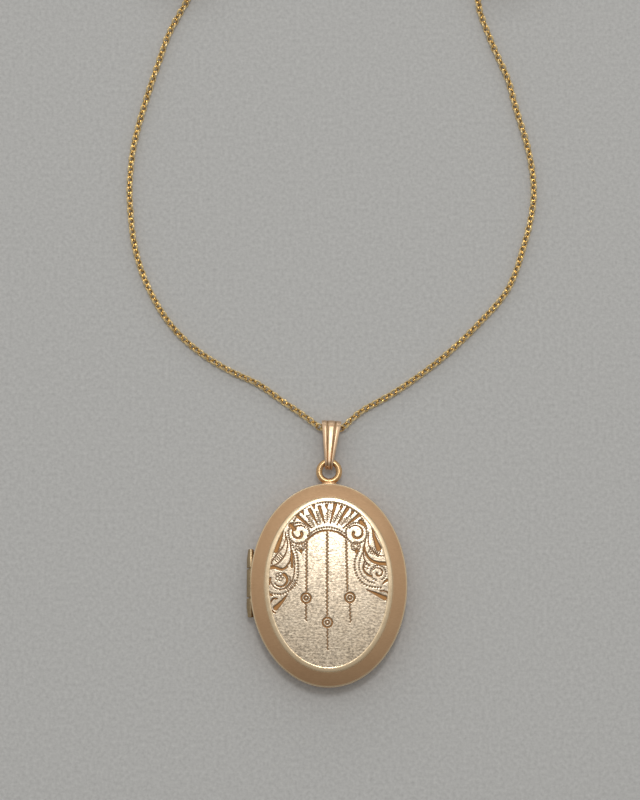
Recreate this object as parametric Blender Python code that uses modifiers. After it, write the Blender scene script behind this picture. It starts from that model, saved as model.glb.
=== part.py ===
"""An oval hinged locket on a fine cable chain, lying closed on its back.

Frame: metres. +X to the right, +Y towards the bail, +Z out of the engraved front.
The origin is the middle of the flat back face, which rests on the table.
"""
import math

import bmesh
import bpy
import numpy as np
from mathutils import Matrix, Vector

MM = 0.001

# ---------------------------------------------------------------- driving sizes
# The oval case
OVAL_WIDTH = 23.2 * MM
OVAL_HEIGHT = 30.0 * MM
OVAL_STEPS = 48
SHEET = 0.35 * MM              # metal thickness of both covers
EDGE_WALL = 1.25 * MM          # upright edge of each cover
EDGE_ROUND = 0.20 * MM         # round between the edge and the border
BORDER_WIDTH = 2.33 * MM       # satin border, from the edge to the panel
BORDER_RISE = 0.75 * MM        # how far the border climbs
STEP_WIDTH = 0.28 * MM         # polished step up to the panel
STEP_RISE = 0.30 * MM
PANEL_CROWN = 0.20 * MM        # how far the panel domes
PARTING_GAP = 0.04 * MM        # between the closed covers

# Inner rims, frames, windows and cards
FIT_GAP = 0.05 * MM            # between pieces that are pressed or laid together
RIM_WALL = 0.60 * MM
LEDGE_WIDTH = 0.70 * MM
LEDGE_THICKNESS = 0.18 * MM
LIP_INSET = 0.20 * MM          # from the rim's outer face to the snap lip
LIP_WALL = 0.30 * MM
LIP_HEIGHT = 0.25 * MM         # how far the snap lip enters the front half
FRAME_WIDTH = 0.85 * MM
FRAME_THICKNESS = 0.42 * MM
WINDOW_THICKNESS = 0.20 * MM
CARD_THICKNESS = 0.18 * MM

# Hinge on the -X edge
KNUCKLE_RADIUS = 0.60 * MM
KNUCKLE_PROUD = 0.50 * MM      # how far the barrel stands out past the oval
KNUCKLE_END_LENGTH = 2.85 * MM
KNUCKLE_MIDDLE_LENGTH = 4.20 * MM
KNUCKLE_GAP = 0.12 * MM
HINGE_MIDDLE_Y = 0.30 * MM
PIN_RADIUS = 0.30 * MM
PIN_CLEARANCE = 0.04 * MM
SOLDER_GAP = 0.02 * MM         # a knuckle to the cover that carries it
SWING_CLEARANCE = 0.07 * MM    # a knuckle to the cover that swings past it
HINGE_FLAT = 0.05 * MM         # flat filed on the edge, measured from the hinge line
HINGE_SIDES = 24

# Top ring and its seat
RING_WIRE_RADIUS = 0.46 * MM
RING_MEAN_RADIUS = 1.49 * MM
RING_X = 0.10 * MM
RING_LIFT = 0.05 * MM
SEAT_HALF_WIDTH = 1.10 * MM
SEAT_RISE = 0.42 * MM
SEAT_BELOW_RING = 0.28 * MM

# Bail
BAIL_SHEET = 0.35 * MM
BAIL_LENGTH = 5.23 * MM        # between the middles of its two bends
BAIL_LOWER_BORE = 0.72 * MM
BAIL_UPPER_BORE = 0.90 * MM
BAIL_TOP_WIDTH = 3.00 * MM
BAIL_BOTTOM_WIDTH = 1.10 * MM
BAIL_SLACK = 0.17 * MM         # lower bend's middle below the ring wire's middle
BAIL_LEAN = math.radians(3.6)  # the top leans to the right
FLOOR_GAP = 0.05 * MM

# Chain
CHAIN_DIAMETER = 1.05 * MM
CHAIN_POINT_STEP = 2.0 * MM
CHAIN_END_GAP = 0.30 * MM
COIL_TURN_RADIUS = 5.35 * MM   # middle of the turns
COIL_TURNS_WIDE = 2
COIL_TURNS_HIGH = 2
COIL_LEFT_CENTRE = (-23.1 * MM, 98.8 * MM)
COIL_RIGHT_CENTRE = (26.9 * MM, 98.8 * MM)

# Spring-ring clasp and the ring it closes on
CLASP_TURN_RADIUS = 2.15 * MM
CLASP_TUBE_RADIUS = 0.55 * MM
CLASP_BORE_RADIUS = 0.43 * MM
CLASP_MOUTH = math.radians(50)
CLASP_TRAVEL = math.radians(50)
TONGUE_RADIUS = 0.35 * MM
TRIGGER_RADIUS = 0.12 * MM
TRIGGER_KNOB_RADIUS = 0.28 * MM
SPRING_WIRE_RADIUS = 0.06 * MM
SPRING_COIL_RADIUS = 0.26 * MM
SPRING_TURNS = 7
EYE_MEAN_RADIUS = 0.55 * MM
EYE_WIRE_RADIUS = 0.17 * MM
END_RING_MEAN_RADIUS = 1.35 * MM
END_RING_WIRE_RADIUS = 0.25 * MM
CLASP_DIRECTION = math.radians(18)      # of the clasp, seen from its coil's middle
END_RING_DIRECTION = math.radians(168)  # of the end ring, seen from its coil's middle

# Routes of the two sides of the chain, from the bail to the coils (mm, chosen by hand)
ROUTE_LEFT = [
    (-0.35, 23.62, 1.18), (-1.20, 23.72, 1.16), (-2.60, 24.75, 0.98), (-4.45, 26.15, 0.66),
    (-7.00, 27.90, 0.53), (-10.60, 30.45, 0.53), (-15.00, 32.55, 0.53), (-19.20, 35.15, 0.53),
    (-22.75, 38.25, 0.53), (-25.65, 42.15, 0.53), (-28.10, 47.10, 0.53), (-29.60, 52.25, 0.53),
    (-30.30, 58.20, 0.53), (-30.35, 62.75, 0.53), (-29.70, 68.35, 0.53), (-27.90, 75.35, 0.53),
    (-26.00, 81.40, 0.53), (-24.50, 85.75, 0.53), (-21.80, 90.90, 0.53), (-21.15, 92.10, 0.53),
]
ROUTE_RIGHT = [
    (-0.05, 23.60, 1.18), (1.95, 23.62, 1.14), (3.20, 24.75, 0.92), (5.30, 26.50, 0.60),
    (9.70, 29.00, 0.53), (14.35, 32.20, 0.53), (18.25, 35.35, 0.53), (22.70, 39.65, 0.53),
    (27.30, 45.10, 0.53), (29.95, 52.25, 0.53), (31.30, 58.20, 0.53), (31.35, 62.75, 0.53),
    (30.50, 67.80, 0.53), (28.90, 73.50, 0.53), (27.70, 78.15, 0.53), (25.60, 83.25, 0.53),
    (23.70, 88.45, 0.53), (23.25, 90.90, 0.53), (22.90, 93.05, 0.53),
]

# ---------------------------------------------------------------- worked-out places
HALF_WIDTH = OVAL_WIDTH / 2
HALF_HEIGHT = OVAL_HEIGHT / 2
BORDER_TOP = EDGE_WALL + EDGE_ROUND + BORDER_RISE
PARTING = BORDER_TOP                    # the back cover is flat at its border's height
PANEL_EDGE = BORDER_TOP + STEP_RISE
HINGE_X = -(HALF_WIDTH + KNUCKLE_PROUD - KNUCKLE_RADIUS)
RING_Y = HALF_HEIGHT + RING_LIFT + RING_WIRE_RADIUS + RING_MEAN_RADIUS
RING_Z = PARTING - PARTING_GAP - RING_WIRE_RADIUS
BAIL_LOWER = Vector((RING_X, RING_Y + RING_MEAN_RADIUS - BAIL_SLACK, RING_Z))
BAIL_PITCH = math.asin((RING_Z - BAIL_UPPER_BORE - BAIL_SHEET - FLOOR_GAP) / BAIL_LENGTH)
COIL_HALF_WIDTH = COIL_TURNS_WIDE * CHAIN_DIAMETER / 2
COIL_HEIGHT = COIL_TURNS_HIGH * CHAIN_DIAMETER
COIL_OUTER_RADIUS = COIL_TURN_RADIUS + COIL_HALF_WIDTH

OBJECT_NAME = "locket"


# ---------------------------------------------------------------- helpers
def clear_scene():
    """Start from an empty scene."""
    for item in list(bpy.data.objects):
        bpy.data.objects.remove(item, do_unlink=True)


def new_collection(name):
    """A collection linked to the scene."""
    group = bpy.data.collections.new(name)
    bpy.context.scene.collection.children.link(group)
    return group


def metal(name, colour, roughness, metallic=1.0):
    """A plain Principled material."""
    made = bpy.data.materials.new(name)
    made.use_nodes = True
    shader = made.node_tree.nodes["Principled BSDF"]
    shader.inputs["Base Color"].default_value = (*colour, 1.0)
    shader.inputs["Roughness"].default_value = roughness
    shader.inputs["Metallic"].default_value = metallic
    return made


def place(item, finish):
    """Link a piece to the object's collection and give it its material."""
    for group in list(item.users_collection):
        group.objects.unlink(item)
    PARTS.objects.link(item)
    item.data.materials.clear()
    item.data.materials.append(finish)
    return item


def hide_cutter(item):
    """Keep a cutting shape out of the model."""
    for group in list(item.users_collection):
        group.objects.unlink(item)
    CUTTERS.objects.link(item)
    item.hide_render = True
    item.display_type = "WIRE"
    return item


def mesh_item(name, verts, faces):
    """A mesh object with its faces turned outwards."""
    mesh = bpy.data.meshes.new(name)
    shape = bmesh.new()
    points = [shape.verts.new(v) for v in verts]
    for face in faces:
        shape.faces.new([points[i] for i in face])
    bmesh.ops.recalc_face_normals(shape, faces=shape.faces)
    shape.to_mesh(mesh)
    shape.free()
    mesh.shade_smooth()
    mesh.set_sharp_from_angle(angle=math.radians(35))
    item = bpy.data.objects.new(name, mesh)
    bpy.context.scene.collection.objects.link(item)
    return item


def loft(name, rows, joined):
    """Skin rows of points. Joined rows close into a ring, others get a cap at each end."""
    count = len(rows[0])
    verts = [tuple(point) for row in rows for point in row]
    faces = []
    pairs = len(rows) if joined else len(rows) - 1
    for i in range(pairs):
        here = i * count
        there = ((i + 1) % len(rows)) * count
        for j in range(count):
            k = (j + 1) % count
            faces.append((here + j, here + k, there + k, there + j))
    if not joined:
        last = (len(rows) - 1) * count
        faces.append(tuple(range(count)))
        faces.append(tuple(range(last, last + count)))
    return mesh_item(name, verts, faces)


def oval_row(inset, height):
    """A ring of points on the oval, moved in by the same inset all round."""
    turn = np.linspace(0.0, 2 * math.pi, OVAL_STEPS, endpoint=False)
    across = (HALF_WIDTH - inset) * np.cos(turn)
    along = (HALF_HEIGHT - inset) * np.sin(turn)
    return np.column_stack((across, along, np.full(OVAL_STEPS, height)))


def oval_solid(name, profile, side, joined):
    """A band of even width round the oval: no scaled turning has that, so it is lofted.

    profile holds (inset from the edge, depth from the parting plane) pairs.
    side is +1 for the front half and -1 for the back half.
    """
    rows = [oval_row(inset, PARTING + side * depth) for inset, depth in profile]
    return loft(name, rows, joined)


def turned(name, profile, steps, matrix, ring):
    """A profile of (radius, height) pairs turned about Z, then moved by matrix.

    The profile runs from top to bottom down the outer side. A ring's profile is a loop.
    """
    mesh = bpy.data.meshes.new(name)
    verts = [(radius, 0.0, height) for radius, height in profile]
    edges = [(i, i + 1) for i in range(len(verts) - 1)]
    if ring:
        edges.append((len(verts) - 1, 0))
    mesh.from_pydata(verts, edges, [])
    item = bpy.data.objects.new(name, mesh)
    bpy.context.scene.collection.objects.link(item)
    screw = item.modifiers.new("turning", "SCREW")
    screw.axis = "Z"
    screw.steps = steps
    screw.render_steps = steps
    screw.use_merge_vertices = True
    screw.merge_threshold = 1e-7
    screw.use_smooth_shade = True
    item.matrix_world = matrix
    return item


def box(name, low, high):
    """A box between two corners."""
    shape = bmesh.new()
    bmesh.ops.create_cube(shape, size=1.0)
    size = [h - l for l, h in zip(low, high)]
    middle = [(h + l) / 2 for l, h in zip(low, high)]
    bmesh.ops.scale(shape, vec=size, verts=shape.verts)
    bmesh.ops.translate(shape, vec=middle, verts=shape.verts)
    mesh = bpy.data.meshes.new(name)
    shape.to_mesh(mesh)
    shape.free()
    item = bpy.data.objects.new(name, mesh)
    bpy.context.scene.collection.objects.link(item)
    return item


def torus(name, middle, mean_radius, wire_radius, around, across):
    """A closed wire ring lying flat."""
    bpy.ops.mesh.primitive_torus_add(
        location=middle, major_radius=mean_radius, minor_radius=wire_radius,
        major_segments=around, minor_segments=across)
    item = bpy.context.object
    item.name = name
    item.data.name = name
    item.data.shade_smooth()
    return item


def rod(name, points, radius, resolution):
    """A round rod along the points, with filled ends."""
    curve = bpy.data.curves.new(name, "CURVE")
    curve.dimensions = "3D"
    curve.bevel_depth = radius
    curve.bevel_resolution = resolution
    curve.use_fill_caps = True
    spline = curve.splines.new("POLY")
    spline.points.add(len(points) - 1)
    for slot, point in zip(spline.points, points):
        slot.co = (*point, 1.0)
    item = bpy.data.objects.new(name, curve)
    bpy.context.scene.collection.objects.link(item)
    return item


def as_mesh(item):
    """Turn a curve object into a closed mesh object of the same name."""
    bpy.context.view_layer.update()
    name = item.name
    ready = item.evaluated_get(bpy.context.evaluated_depsgraph_get())
    mesh = bpy.data.meshes.new_from_object(ready)
    shape = bmesh.new()
    shape.from_mesh(mesh)
    bmesh.ops.remove_doubles(shape, verts=shape.verts, dist=1e-7)
    bmesh.ops.recalc_face_normals(shape, faces=shape.faces)
    shape.to_mesh(mesh)
    shape.free()
    matrix = item.matrix_world.copy()
    bpy.data.objects.remove(item, do_unlink=True)
    made = bpy.data.objects.new(name, mesh)
    made.matrix_world = matrix
    bpy.context.scene.collection.objects.link(made)
    return made


def combine(item, other, operation):
    """Cut a piece with another shape, or join the shape to it."""
    hide_cutter(other)
    step = item.modifiers.new(other.name, "BOOLEAN")
    step.operation = operation
    step.solver = "EXACT"
    step.object = other


def arc(middle, radius, start, end, count):
    """Points on a level arc about middle."""
    turn = np.linspace(start, end, count)
    x = middle[0] + radius * np.cos(turn)
    y = middle[1] + radius * np.sin(turn)
    return np.column_stack((x, y, np.full(count, middle[2])))


def smooth_route(route, step):
    """Even points on the Catmull-Rom curve through a route given in millimetres."""
    knots = np.array(route) * MM
    padded = np.vstack((2 * knots[0] - knots[1], knots, 2 * knots[-1] - knots[-2]))
    share = np.linspace(0.0, 1.0, 24, endpoint=False)[:, None]
    fine = []
    for a, b, c, d in zip(padded, padded[1:], padded[2:], padded[3:]):
        fine.append(b + 0.5 * share * (c - a)
                    + share ** 2 * (a - 2.5 * b + 2 * c - 0.5 * d)
                    + 0.5 * share ** 3 * (d - a + 3 * (b - c)))
    fine = np.vstack((*fine, knots[-1:]))
    run = np.concatenate(([0.0], np.cumsum(np.linalg.norm(np.diff(fine, axis=0), axis=1))))
    count = int(round(run[-1] / step)) + 1
    marks = np.linspace(0.0, run[-1], count)
    return np.column_stack([np.interp(marks, run, fine[:, k]) for k in range(3)])


# ---------------------------------------------------------------- the two halves
def border_rows():
    """Outer rows shared by both covers, from the parting plane up to the border's top."""
    return [
        (0.0, PARTING_GAP / 2),
        (0.0, EDGE_WALL),
        (0.3 * EDGE_ROUND, EDGE_WALL + 0.7 * EDGE_ROUND),
        (EDGE_ROUND, EDGE_WALL + EDGE_ROUND),
        (BORDER_WIDTH, BORDER_TOP),
    ]


def border_inner_rows():
    """Inner side of the border, one sheet thickness in, from its top to the parting plane."""
    slope = BORDER_RISE / (BORDER_WIDTH - EDGE_ROUND)
    drop = SHEET * math.hypot(1.0, slope)
    at_wall = EDGE_WALL + EDGE_ROUND + slope * (SHEET - EDGE_ROUND) - drop
    return [
        (BORDER_WIDTH, BORDER_TOP - drop),
        (SHEET, at_wall),
        (SHEET, PARTING_GAP / 2),
    ]


def panel_rows():
    """Outer rows of the step and the domed panel."""
    start = BORDER_WIDTH + STEP_WIDTH
    rows = [(BORDER_WIDTH + 0.25 * STEP_WIDTH, BORDER_TOP + 0.4 * STEP_RISE)]
    for share in (0.0, 0.3, 0.6, 0.93):
        rise = PANEL_CROWN * (1.0 - (1.0 - share) ** 2)
        rows.append((start + share * (HALF_WIDTH - start), PANEL_EDGE + rise))
    return rows


def panel_inner_rows():
    """Inner side of the panel, from its middle out to the step."""
    start = BORDER_WIDTH + STEP_WIDTH + SHEET / 2
    rows = []
    for share in (0.93, 0.5, 0.0):
        rise = PANEL_CROWN * (1.0 - (1.0 - share) ** 2)
        rows.append((start + share * (HALF_WIDTH - start), PANEL_EDGE - SHEET + rise))
    return rows


def make_covers():
    """The two die-struck shells: a plain flat back and a front with a raised panel."""
    flat_inside = (BORDER_WIDTH, BORDER_TOP - SHEET)
    outside = list(reversed(border_rows()))
    inside = list(reversed(border_inner_rows()))
    back = oval_cup("back_cover", outside, inside[:-1] + [flat_inside], -1)
    front_outside = list(reversed(border_rows() + panel_rows()))
    front_inside = list(reversed(panel_inner_rows() + border_inner_rows()))
    front = oval_cup("front_cover", front_outside, front_inside, 1)
    return place(back, ROSE_SATIN), place(front, ROSE_SATIN)


def oval_cup(name, outside, inside, side):
    """A dished shell: outer rows from the middle to the edge, inner rows back again."""
    return oval_solid(name, outside + inside, side, False)


def stack_depths():
    """Depths from the parting plane of the frame, window, card and ledge in each half."""
    frame_top = PARTING_GAP / 2 + FIT_GAP
    window_top = frame_top + FRAME_THICKNESS + FIT_GAP
    card_top = window_top + WINDOW_THICKNESS + FIT_GAP
    ledge_top = card_top + CARD_THICKNESS + FIT_GAP
    return frame_top, window_top, card_top, ledge_top


def make_rim(name, side, lip):
    """Inner rim soldered in a cover: a wall, a ledge for the card, and a lip on the back one."""
    outer = SHEET + FIT_GAP
    inner = outer + RIM_WALL
    ledge_top = stack_depths()[3]
    ledge_bottom = ledge_top + LEDGE_THICKNESS
    shoulder = ledge_top - FIT_GAP
    if lip:
        top = PARTING_GAP / 2
        lip_out = outer + LIP_INSET
        lip_in = lip_out + LIP_WALL
        mouth = [(outer, top), (lip_out, top), (lip_out, -LIP_HEIGHT), (lip_in, -LIP_HEIGHT),
                 (lip_in, top), (inner, top)]
    else:
        top = LIP_HEIGHT + FIT_GAP
        mouth = [(outer, top), (inner, top)]
    ledge = [(inner, ledge_top), (inner + LEDGE_WIDTH, ledge_top),
             (inner + LEDGE_WIDTH, ledge_bottom), (inner, ledge_bottom), (outer, shoulder)]
    return place(oval_solid(name, mouth + ledge, side, True), GOLD_POLISHED)


def make_insides(half, side):
    """Frame, window and blank card, each laid on the next with a small gap."""
    frame_top, window_top, card_top, ledge_top = stack_depths()
    edge = SHEET + FIT_GAP + RIM_WALL + FIT_GAP
    chamfer = FRAME_THICKNESS / 3
    frame = oval_solid(half + "_frame", [
        (edge, frame_top), (edge + FRAME_WIDTH - chamfer, frame_top),
        (edge + FRAME_WIDTH, frame_top + chamfer),
        (edge + FRAME_WIDTH, frame_top + FRAME_THICKNESS), (edge, frame_top + FRAME_THICKNESS),
    ], side, True)
    window = oval_solid(half + "_window", [
        (edge, window_top), (edge, window_top + WINDOW_THICKNESS)], side, False)
    card = oval_solid(half + "_card", [
        (edge, card_top), (edge, card_top + CARD_THICKNESS)], side, False)
    place(frame, GOLD_POLISHED)
    place(window, CLEAR)
    place(card, CARD)


# ---------------------------------------------------------------- the hinge
def along_hinge(y):
    """A matrix that lays a turned shape's Z along the hinge line, starting at y."""
    return Matrix.Translation((HINGE_X, y, PARTING)) @ Matrix.Rotation(-math.pi / 2, 4, "X")


def knuckle_spans():
    """Names, first and last y, and the half that carries each knuckle."""
    half_middle = KNUCKLE_MIDDLE_LENGTH / 2
    low = HINGE_MIDDLE_Y - half_middle
    high = HINGE_MIDDLE_Y + half_middle
    return [
        ("hinge_knuckle_lower", low - KNUCKLE_GAP - KNUCKLE_END_LENGTH, low - KNUCKLE_GAP, -1),
        ("hinge_knuckle_middle", low, high, 1),
        ("hinge_knuckle_upper", high + KNUCKLE_GAP, high + KNUCKLE_GAP + KNUCKLE_END_LENGTH, -1),
    ]


def hinge_relief(name, side):
    """A stepped turned cutter: a close saddle at own knuckles, running room at the others."""
    profile = []
    spans = knuckle_spans()
    for i, (_, start, end, owner) in enumerate(spans):
        radius = KNUCKLE_RADIUS + (SOLDER_GAP if owner == side else SWING_CLEARANCE)
        first = start - (KNUCKLE_GAP if i == 0 else KNUCKLE_GAP / 2)
        last = end + (KNUCKLE_GAP if i == len(spans) - 1 else KNUCKLE_GAP / 2)
        profile += [(radius, first), (radius, last)]
    profile = [(0.0, profile[0][1])] + profile + [(0.0, profile[-1][1])]
    lowest = profile[0][1]
    falling = [(radius, y - lowest) for radius, y in reversed(profile)]
    return turned(name, falling, 2 * HINGE_SIDES, along_hinge(lowest), False)


def cut_for_hinge(item, side):
    """Seat the hinge in a cover or a rim, and file the edge flat past the hinge line."""
    combine(item, hinge_relief(item.name + "_hinge_relief", side), "DIFFERENCE")
    reach = HALF_HEIGHT / 2
    outside = HINGE_X + HINGE_FLAT
    filed = box(item.name + "_hinge_flat",
                (outside - 2 * KNUCKLE_RADIUS, -reach, -PARTING),
                (outside, reach, 3 * PARTING))
    combine(item, filed, "DIFFERENCE")


def make_hinge():
    """Three lengths of tube on one pin."""
    bore = PIN_RADIUS + PIN_CLEARANCE
    for name, start, end, _ in knuckle_spans():
        length = end - start
        tube = [(bore, length), (KNUCKLE_RADIUS, length), (KNUCKLE_RADIUS, 0.0), (bore, 0.0)]
        place(turned(name, tube, HINGE_SIDES, along_hinge(start), True), GOLD_POLISHED)
    start = knuckle_spans()[0][1]
    length = knuckle_spans()[-1][2] - start
    wire = [(0.0, length), (PIN_RADIUS, length), (PIN_RADIUS, 0.0), (0.0, 0.0)]
    place(turned("hinge_pin", wire, HINGE_SIDES, along_hinge(start), False), GOLD_POLISHED)


# ---------------------------------------------------------------- ring and bail
def make_top_ring():
    """The closed ring above the case, and the seat it is soldered in."""
    middle = (RING_X, RING_Y, RING_Z)
    ring = torus("top_ring", middle, RING_MEAN_RADIUS, RING_WIRE_RADIUS, 40, 12)
    place(ring, GOLD_POLISHED)
    low = (RING_X - SEAT_HALF_WIDTH, HALF_HEIGHT - SEAT_RISE, RING_Z - RING_WIRE_RADIUS - SEAT_BELOW_RING)
    high = (RING_X + SEAT_HALF_WIDTH, HALF_HEIGHT + SEAT_RISE, PARTING - PARTING_GAP)
    seat = box("ring_seat", low, high)
    room = torus("ring_seat_room", middle, RING_MEAN_RADIUS, RING_WIRE_RADIUS + SOLDER_GAP, 40, 12)
    combine(seat, room, "DIFFERENCE")
    edge = oval_solid("ring_seat_edge", [(-SOLDER_GAP, -PARTING), (-SOLDER_GAP, PARTING)], -1, False)
    combine(seat, edge, "DIFFERENCE")
    place(seat, GOLD_POLISHED)


def bail_path():
    """Middle line of the folded strip: two bends joined by straight leaves, with its normals.

    Both are (along, up) pairs. The lower bend is at the start of along, the upper at its end.
    """
    lower = BAIL_LOWER_BORE + BAIL_SHEET / 2
    upper = BAIL_UPPER_BORE + BAIL_SHEET / 2
    spread = math.asin((upper - lower) / BAIL_LENGTH)
    top_turn = np.linspace(math.pi / 2 + spread, -math.pi / 2 - spread, 14)
    bottom_turn = np.linspace(-math.pi / 2 - spread, -1.5 * math.pi + spread, 12)
    turn = np.concatenate((top_turn, bottom_turn))
    radius = np.where(np.arange(len(turn)) < len(top_turn), upper, lower)
    start = np.where(np.arange(len(turn)) < len(top_turn), BAIL_LENGTH, 0.0)
    normal = np.column_stack((np.cos(turn), np.sin(turn)))
    return normal * radius[:, None] + np.column_stack((start, np.zeros(len(turn)))), normal


def make_bail():
    """A tapered strip folded through the ring and over the chain, ends soldered shut."""
    path, normal = bail_path()
    lowest = path[:, 0].min()
    share = (path[:, 0] - lowest) / (path[:, 0].max() - lowest)
    half_width = (BAIL_BOTTOM_WIDTH + (BAIL_TOP_WIDTH - BAIL_BOTTOM_WIDTH) * share) / 2
    rows = []
    for point, out, half in zip(path, normal, half_width):
        outer = point + out * BAIL_SHEET / 2
        inner = point - out * BAIL_SHEET / 2
        rows.append([(-half, *outer), (half, *outer), (half, *inner), (-half, *inner)])
    bail = loft("bail", rows, True)
    bail.matrix_world = bail_matrix()
    place(bail, GOLD_SATIN)


def bail_matrix():
    """Where the bail lies: leaning right, with its top end let down to the table."""
    lean = Matrix.Rotation(-BAIL_LEAN, 4, "Z")
    pitch = Matrix.Rotation(-BAIL_PITCH, 4, "X")
    return Matrix.Translation(BAIL_LOWER) @ lean @ pitch


# ---------------------------------------------------------------- chain and clasp
def make_chain():
    """The two sides of the chain as plain tubes, and the coils that hold the rest."""
    for name, route in (("chain_left", ROUTE_LEFT), ("chain_right", ROUTE_RIGHT)):
        tube = rod(name, smooth_route(route, CHAIN_POINT_STEP), CHAIN_DIAMETER / 2, 2)
        place(tube, GOLD_YELLOW)
    inner = COIL_TURN_RADIUS - COIL_HALF_WIDTH
    profile = [(inner, COIL_HEIGHT), (COIL_OUTER_RADIUS, COIL_HEIGHT), (COIL_OUTER_RADIUS, 0.0), (inner, 0.0)]
    for name, middle in (("chain_coil_left", COIL_LEFT_CENTRE), ("chain_coil_right", COIL_RIGHT_CENTRE)):
        coil = turned(name, profile, 36, Matrix.Translation((*middle, 0.0)), True)
        place(coil, GOLD_YELLOW)


def beside(middle, direction, distance):
    """A point at a distance and a direction from a coil's middle."""
    return (middle[0] + distance * math.cos(direction), middle[1] + distance * math.sin(direction))


def make_clasp():
    """Spring-ring clasp: a hollow C, a tongue with its trigger, a spring and an eye."""
    eye_reach = COIL_OUTER_RADIUS + CHAIN_END_GAP + EYE_MEAN_RADIUS + EYE_WIRE_RADIUS
    eye_x, eye_y = beside(COIL_LEFT_CENTRE, CLASP_DIRECTION, eye_reach)
    body_reach = (eye_reach + EYE_MEAN_RADIUS + EYE_WIRE_RADIUS + SOLDER_GAP
                  + CLASP_TUBE_RADIUS + CLASP_TURN_RADIUS)
    body_x, body_y = beside(COIL_LEFT_CENTRE, CLASP_DIRECTION, body_reach)
    middle = (body_x, body_y, CLASP_TUBE_RADIUS)
    eye = torus("clasp_eye", (eye_x, eye_y, EYE_WIRE_RADIUS + CLASP_TUBE_RADIUS / 2),
                EYE_MEAN_RADIUS, EYE_WIRE_RADIUS, 24, 8)
    place(eye, GOLD_YELLOW)

    # The mouth opens away from the eye. Angles run anticlockwise from the mouth's middle.
    mouth = CLASP_DIRECTION
    start = mouth + CLASP_MOUTH / 2
    end = mouth + 2 * math.pi - CLASP_MOUTH / 2
    body = as_mesh(rod("clasp_body", arc(middle, CLASP_TURN_RADIUS, start, end, 32), CLASP_TUBE_RADIUS, 4))
    bore_line = arc(middle, CLASP_TURN_RADIUS, start - 0.2, end + 0.2, 34)
    bore = as_mesh(rod("clasp_bore", bore_line, CLASP_BORE_RADIUS, 4))
    combine(body, bore, "DIFFERENCE")

    # The trigger stands on the tongue and slides back along a slot in the tube.
    trigger = start + math.radians(14)
    slot_radius = CLASP_TURN_RADIUS + CLASP_TUBE_RADIUS
    slot_end = trigger + CLASP_TRAVEL + math.radians(4)
    slot = as_mesh(rod("clasp_slot", arc(middle, slot_radius, trigger - math.radians(5), slot_end, 9),
                       TRIGGER_RADIUS + FIT_GAP, 4))
    combine(body, slot, "DIFFERENCE")
    place(body, GOLD_YELLOW)

    tongue_tip = mouth - CLASP_MOUTH / 2 - math.radians(6)
    tongue_end = trigger + math.radians(22)
    tongue_line = arc(middle, CLASP_TURN_RADIUS, tongue_tip, tongue_end, 18)
    tongue = as_mesh(rod("clasp_tongue", tongue_line, TONGUE_RADIUS, 4))
    out = Vector((math.cos(trigger), math.sin(trigger), 0.0))
    foot = Vector(middle) + out * CLASP_TURN_RADIUS
    knob_middle = Vector(middle) + out * (slot_radius + TRIGGER_KNOB_RADIUS + FIT_GAP)
    stem = as_mesh(rod("clasp_trigger_stem", [foot, knob_middle], TRIGGER_RADIUS, 4))
    combine(tongue, stem, "UNION")
    knob_shape = bmesh.new()
    bmesh.ops.create_uvsphere(knob_shape, u_segments=12, v_segments=8, radius=TRIGGER_KNOB_RADIUS)
    bmesh.ops.translate(knob_shape, vec=knob_middle, verts=knob_shape.verts)
    knob_mesh = bpy.data.meshes.new("clasp_trigger_knob")
    knob_shape.to_mesh(knob_mesh)
    knob_shape.free()
    knob = bpy.data.objects.new("clasp_trigger_knob", knob_mesh)
    combine(tongue, knob, "UNION")
    place(tongue, GOLD_YELLOW)

    # The spring fills the tube between the tongue and the far end of the bore.
    first = tongue_end + math.radians(3)
    last = end - math.radians(60)
    turn = np.linspace(first, last, SPRING_TURNS * 9 + 1)
    winding = np.linspace(0.0, 2 * math.pi * SPRING_TURNS, len(turn))
    reach = CLASP_TURN_RADIUS + SPRING_COIL_RADIUS * np.cos(winding)
    coil = np.column_stack((
        middle[0] + reach * np.cos(turn),
        middle[1] + reach * np.sin(turn),
        middle[2] + SPRING_COIL_RADIUS * np.sin(winding)))
    place(rod("clasp_spring", coil, SPRING_WIRE_RADIUS, 1), STEEL)

    ring_reach = COIL_OUTER_RADIUS + CHAIN_END_GAP + END_RING_MEAN_RADIUS + END_RING_WIRE_RADIUS
    ring_x, ring_y = beside(COIL_RIGHT_CENTRE, END_RING_DIRECTION, ring_reach)
    ring = torus("end_ring", (ring_x, ring_y, END_RING_WIRE_RADIUS), END_RING_MEAN_RADIUS,
                 END_RING_WIRE_RADIUS, 32, 8)
    place(ring, GOLD_YELLOW)


# ---------------------------------------------------------------- build
clear_scene()
PARTS = new_collection(OBJECT_NAME)
CUTTERS = new_collection("cutters")
ROSE_SATIN = metal("rose_gold_filled_satin", (0.56, 0.37, 0.22), 0.38)
GOLD_SATIN = metal("gold_filled_satin", (0.72, 0.47, 0.28), 0.30)
GOLD_POLISHED = metal("gold_filled_polished", (0.74, 0.49, 0.27), 0.20)
GOLD_YELLOW = metal("yellow_gold_filled", (0.64, 0.40, 0.14), 0.22)
STEEL = metal("spring_steel", (0.50, 0.50, 0.50), 0.30)
CLEAR = metal("clear_acetate", (0.90, 0.90, 0.88), 0.10, 0.0)
CARD = metal("blank_card", (0.80, 0.77, 0.70), 0.80, 0.0)

back_cover, front_cover = make_covers()
back_rim = make_rim("back_rim", -1, True)
front_rim = make_rim("front_rim", 1, False)
for shell, shell_side in ((back_cover, -1), (back_rim, -1), (front_cover, 1), (front_rim, 1)):
    cut_for_hinge(shell, shell_side)
make_insides("back", -1)
make_insides("front", 1)
make_hinge()
make_top_ring()
make_bail()
make_chain()
make_clasp()
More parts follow.
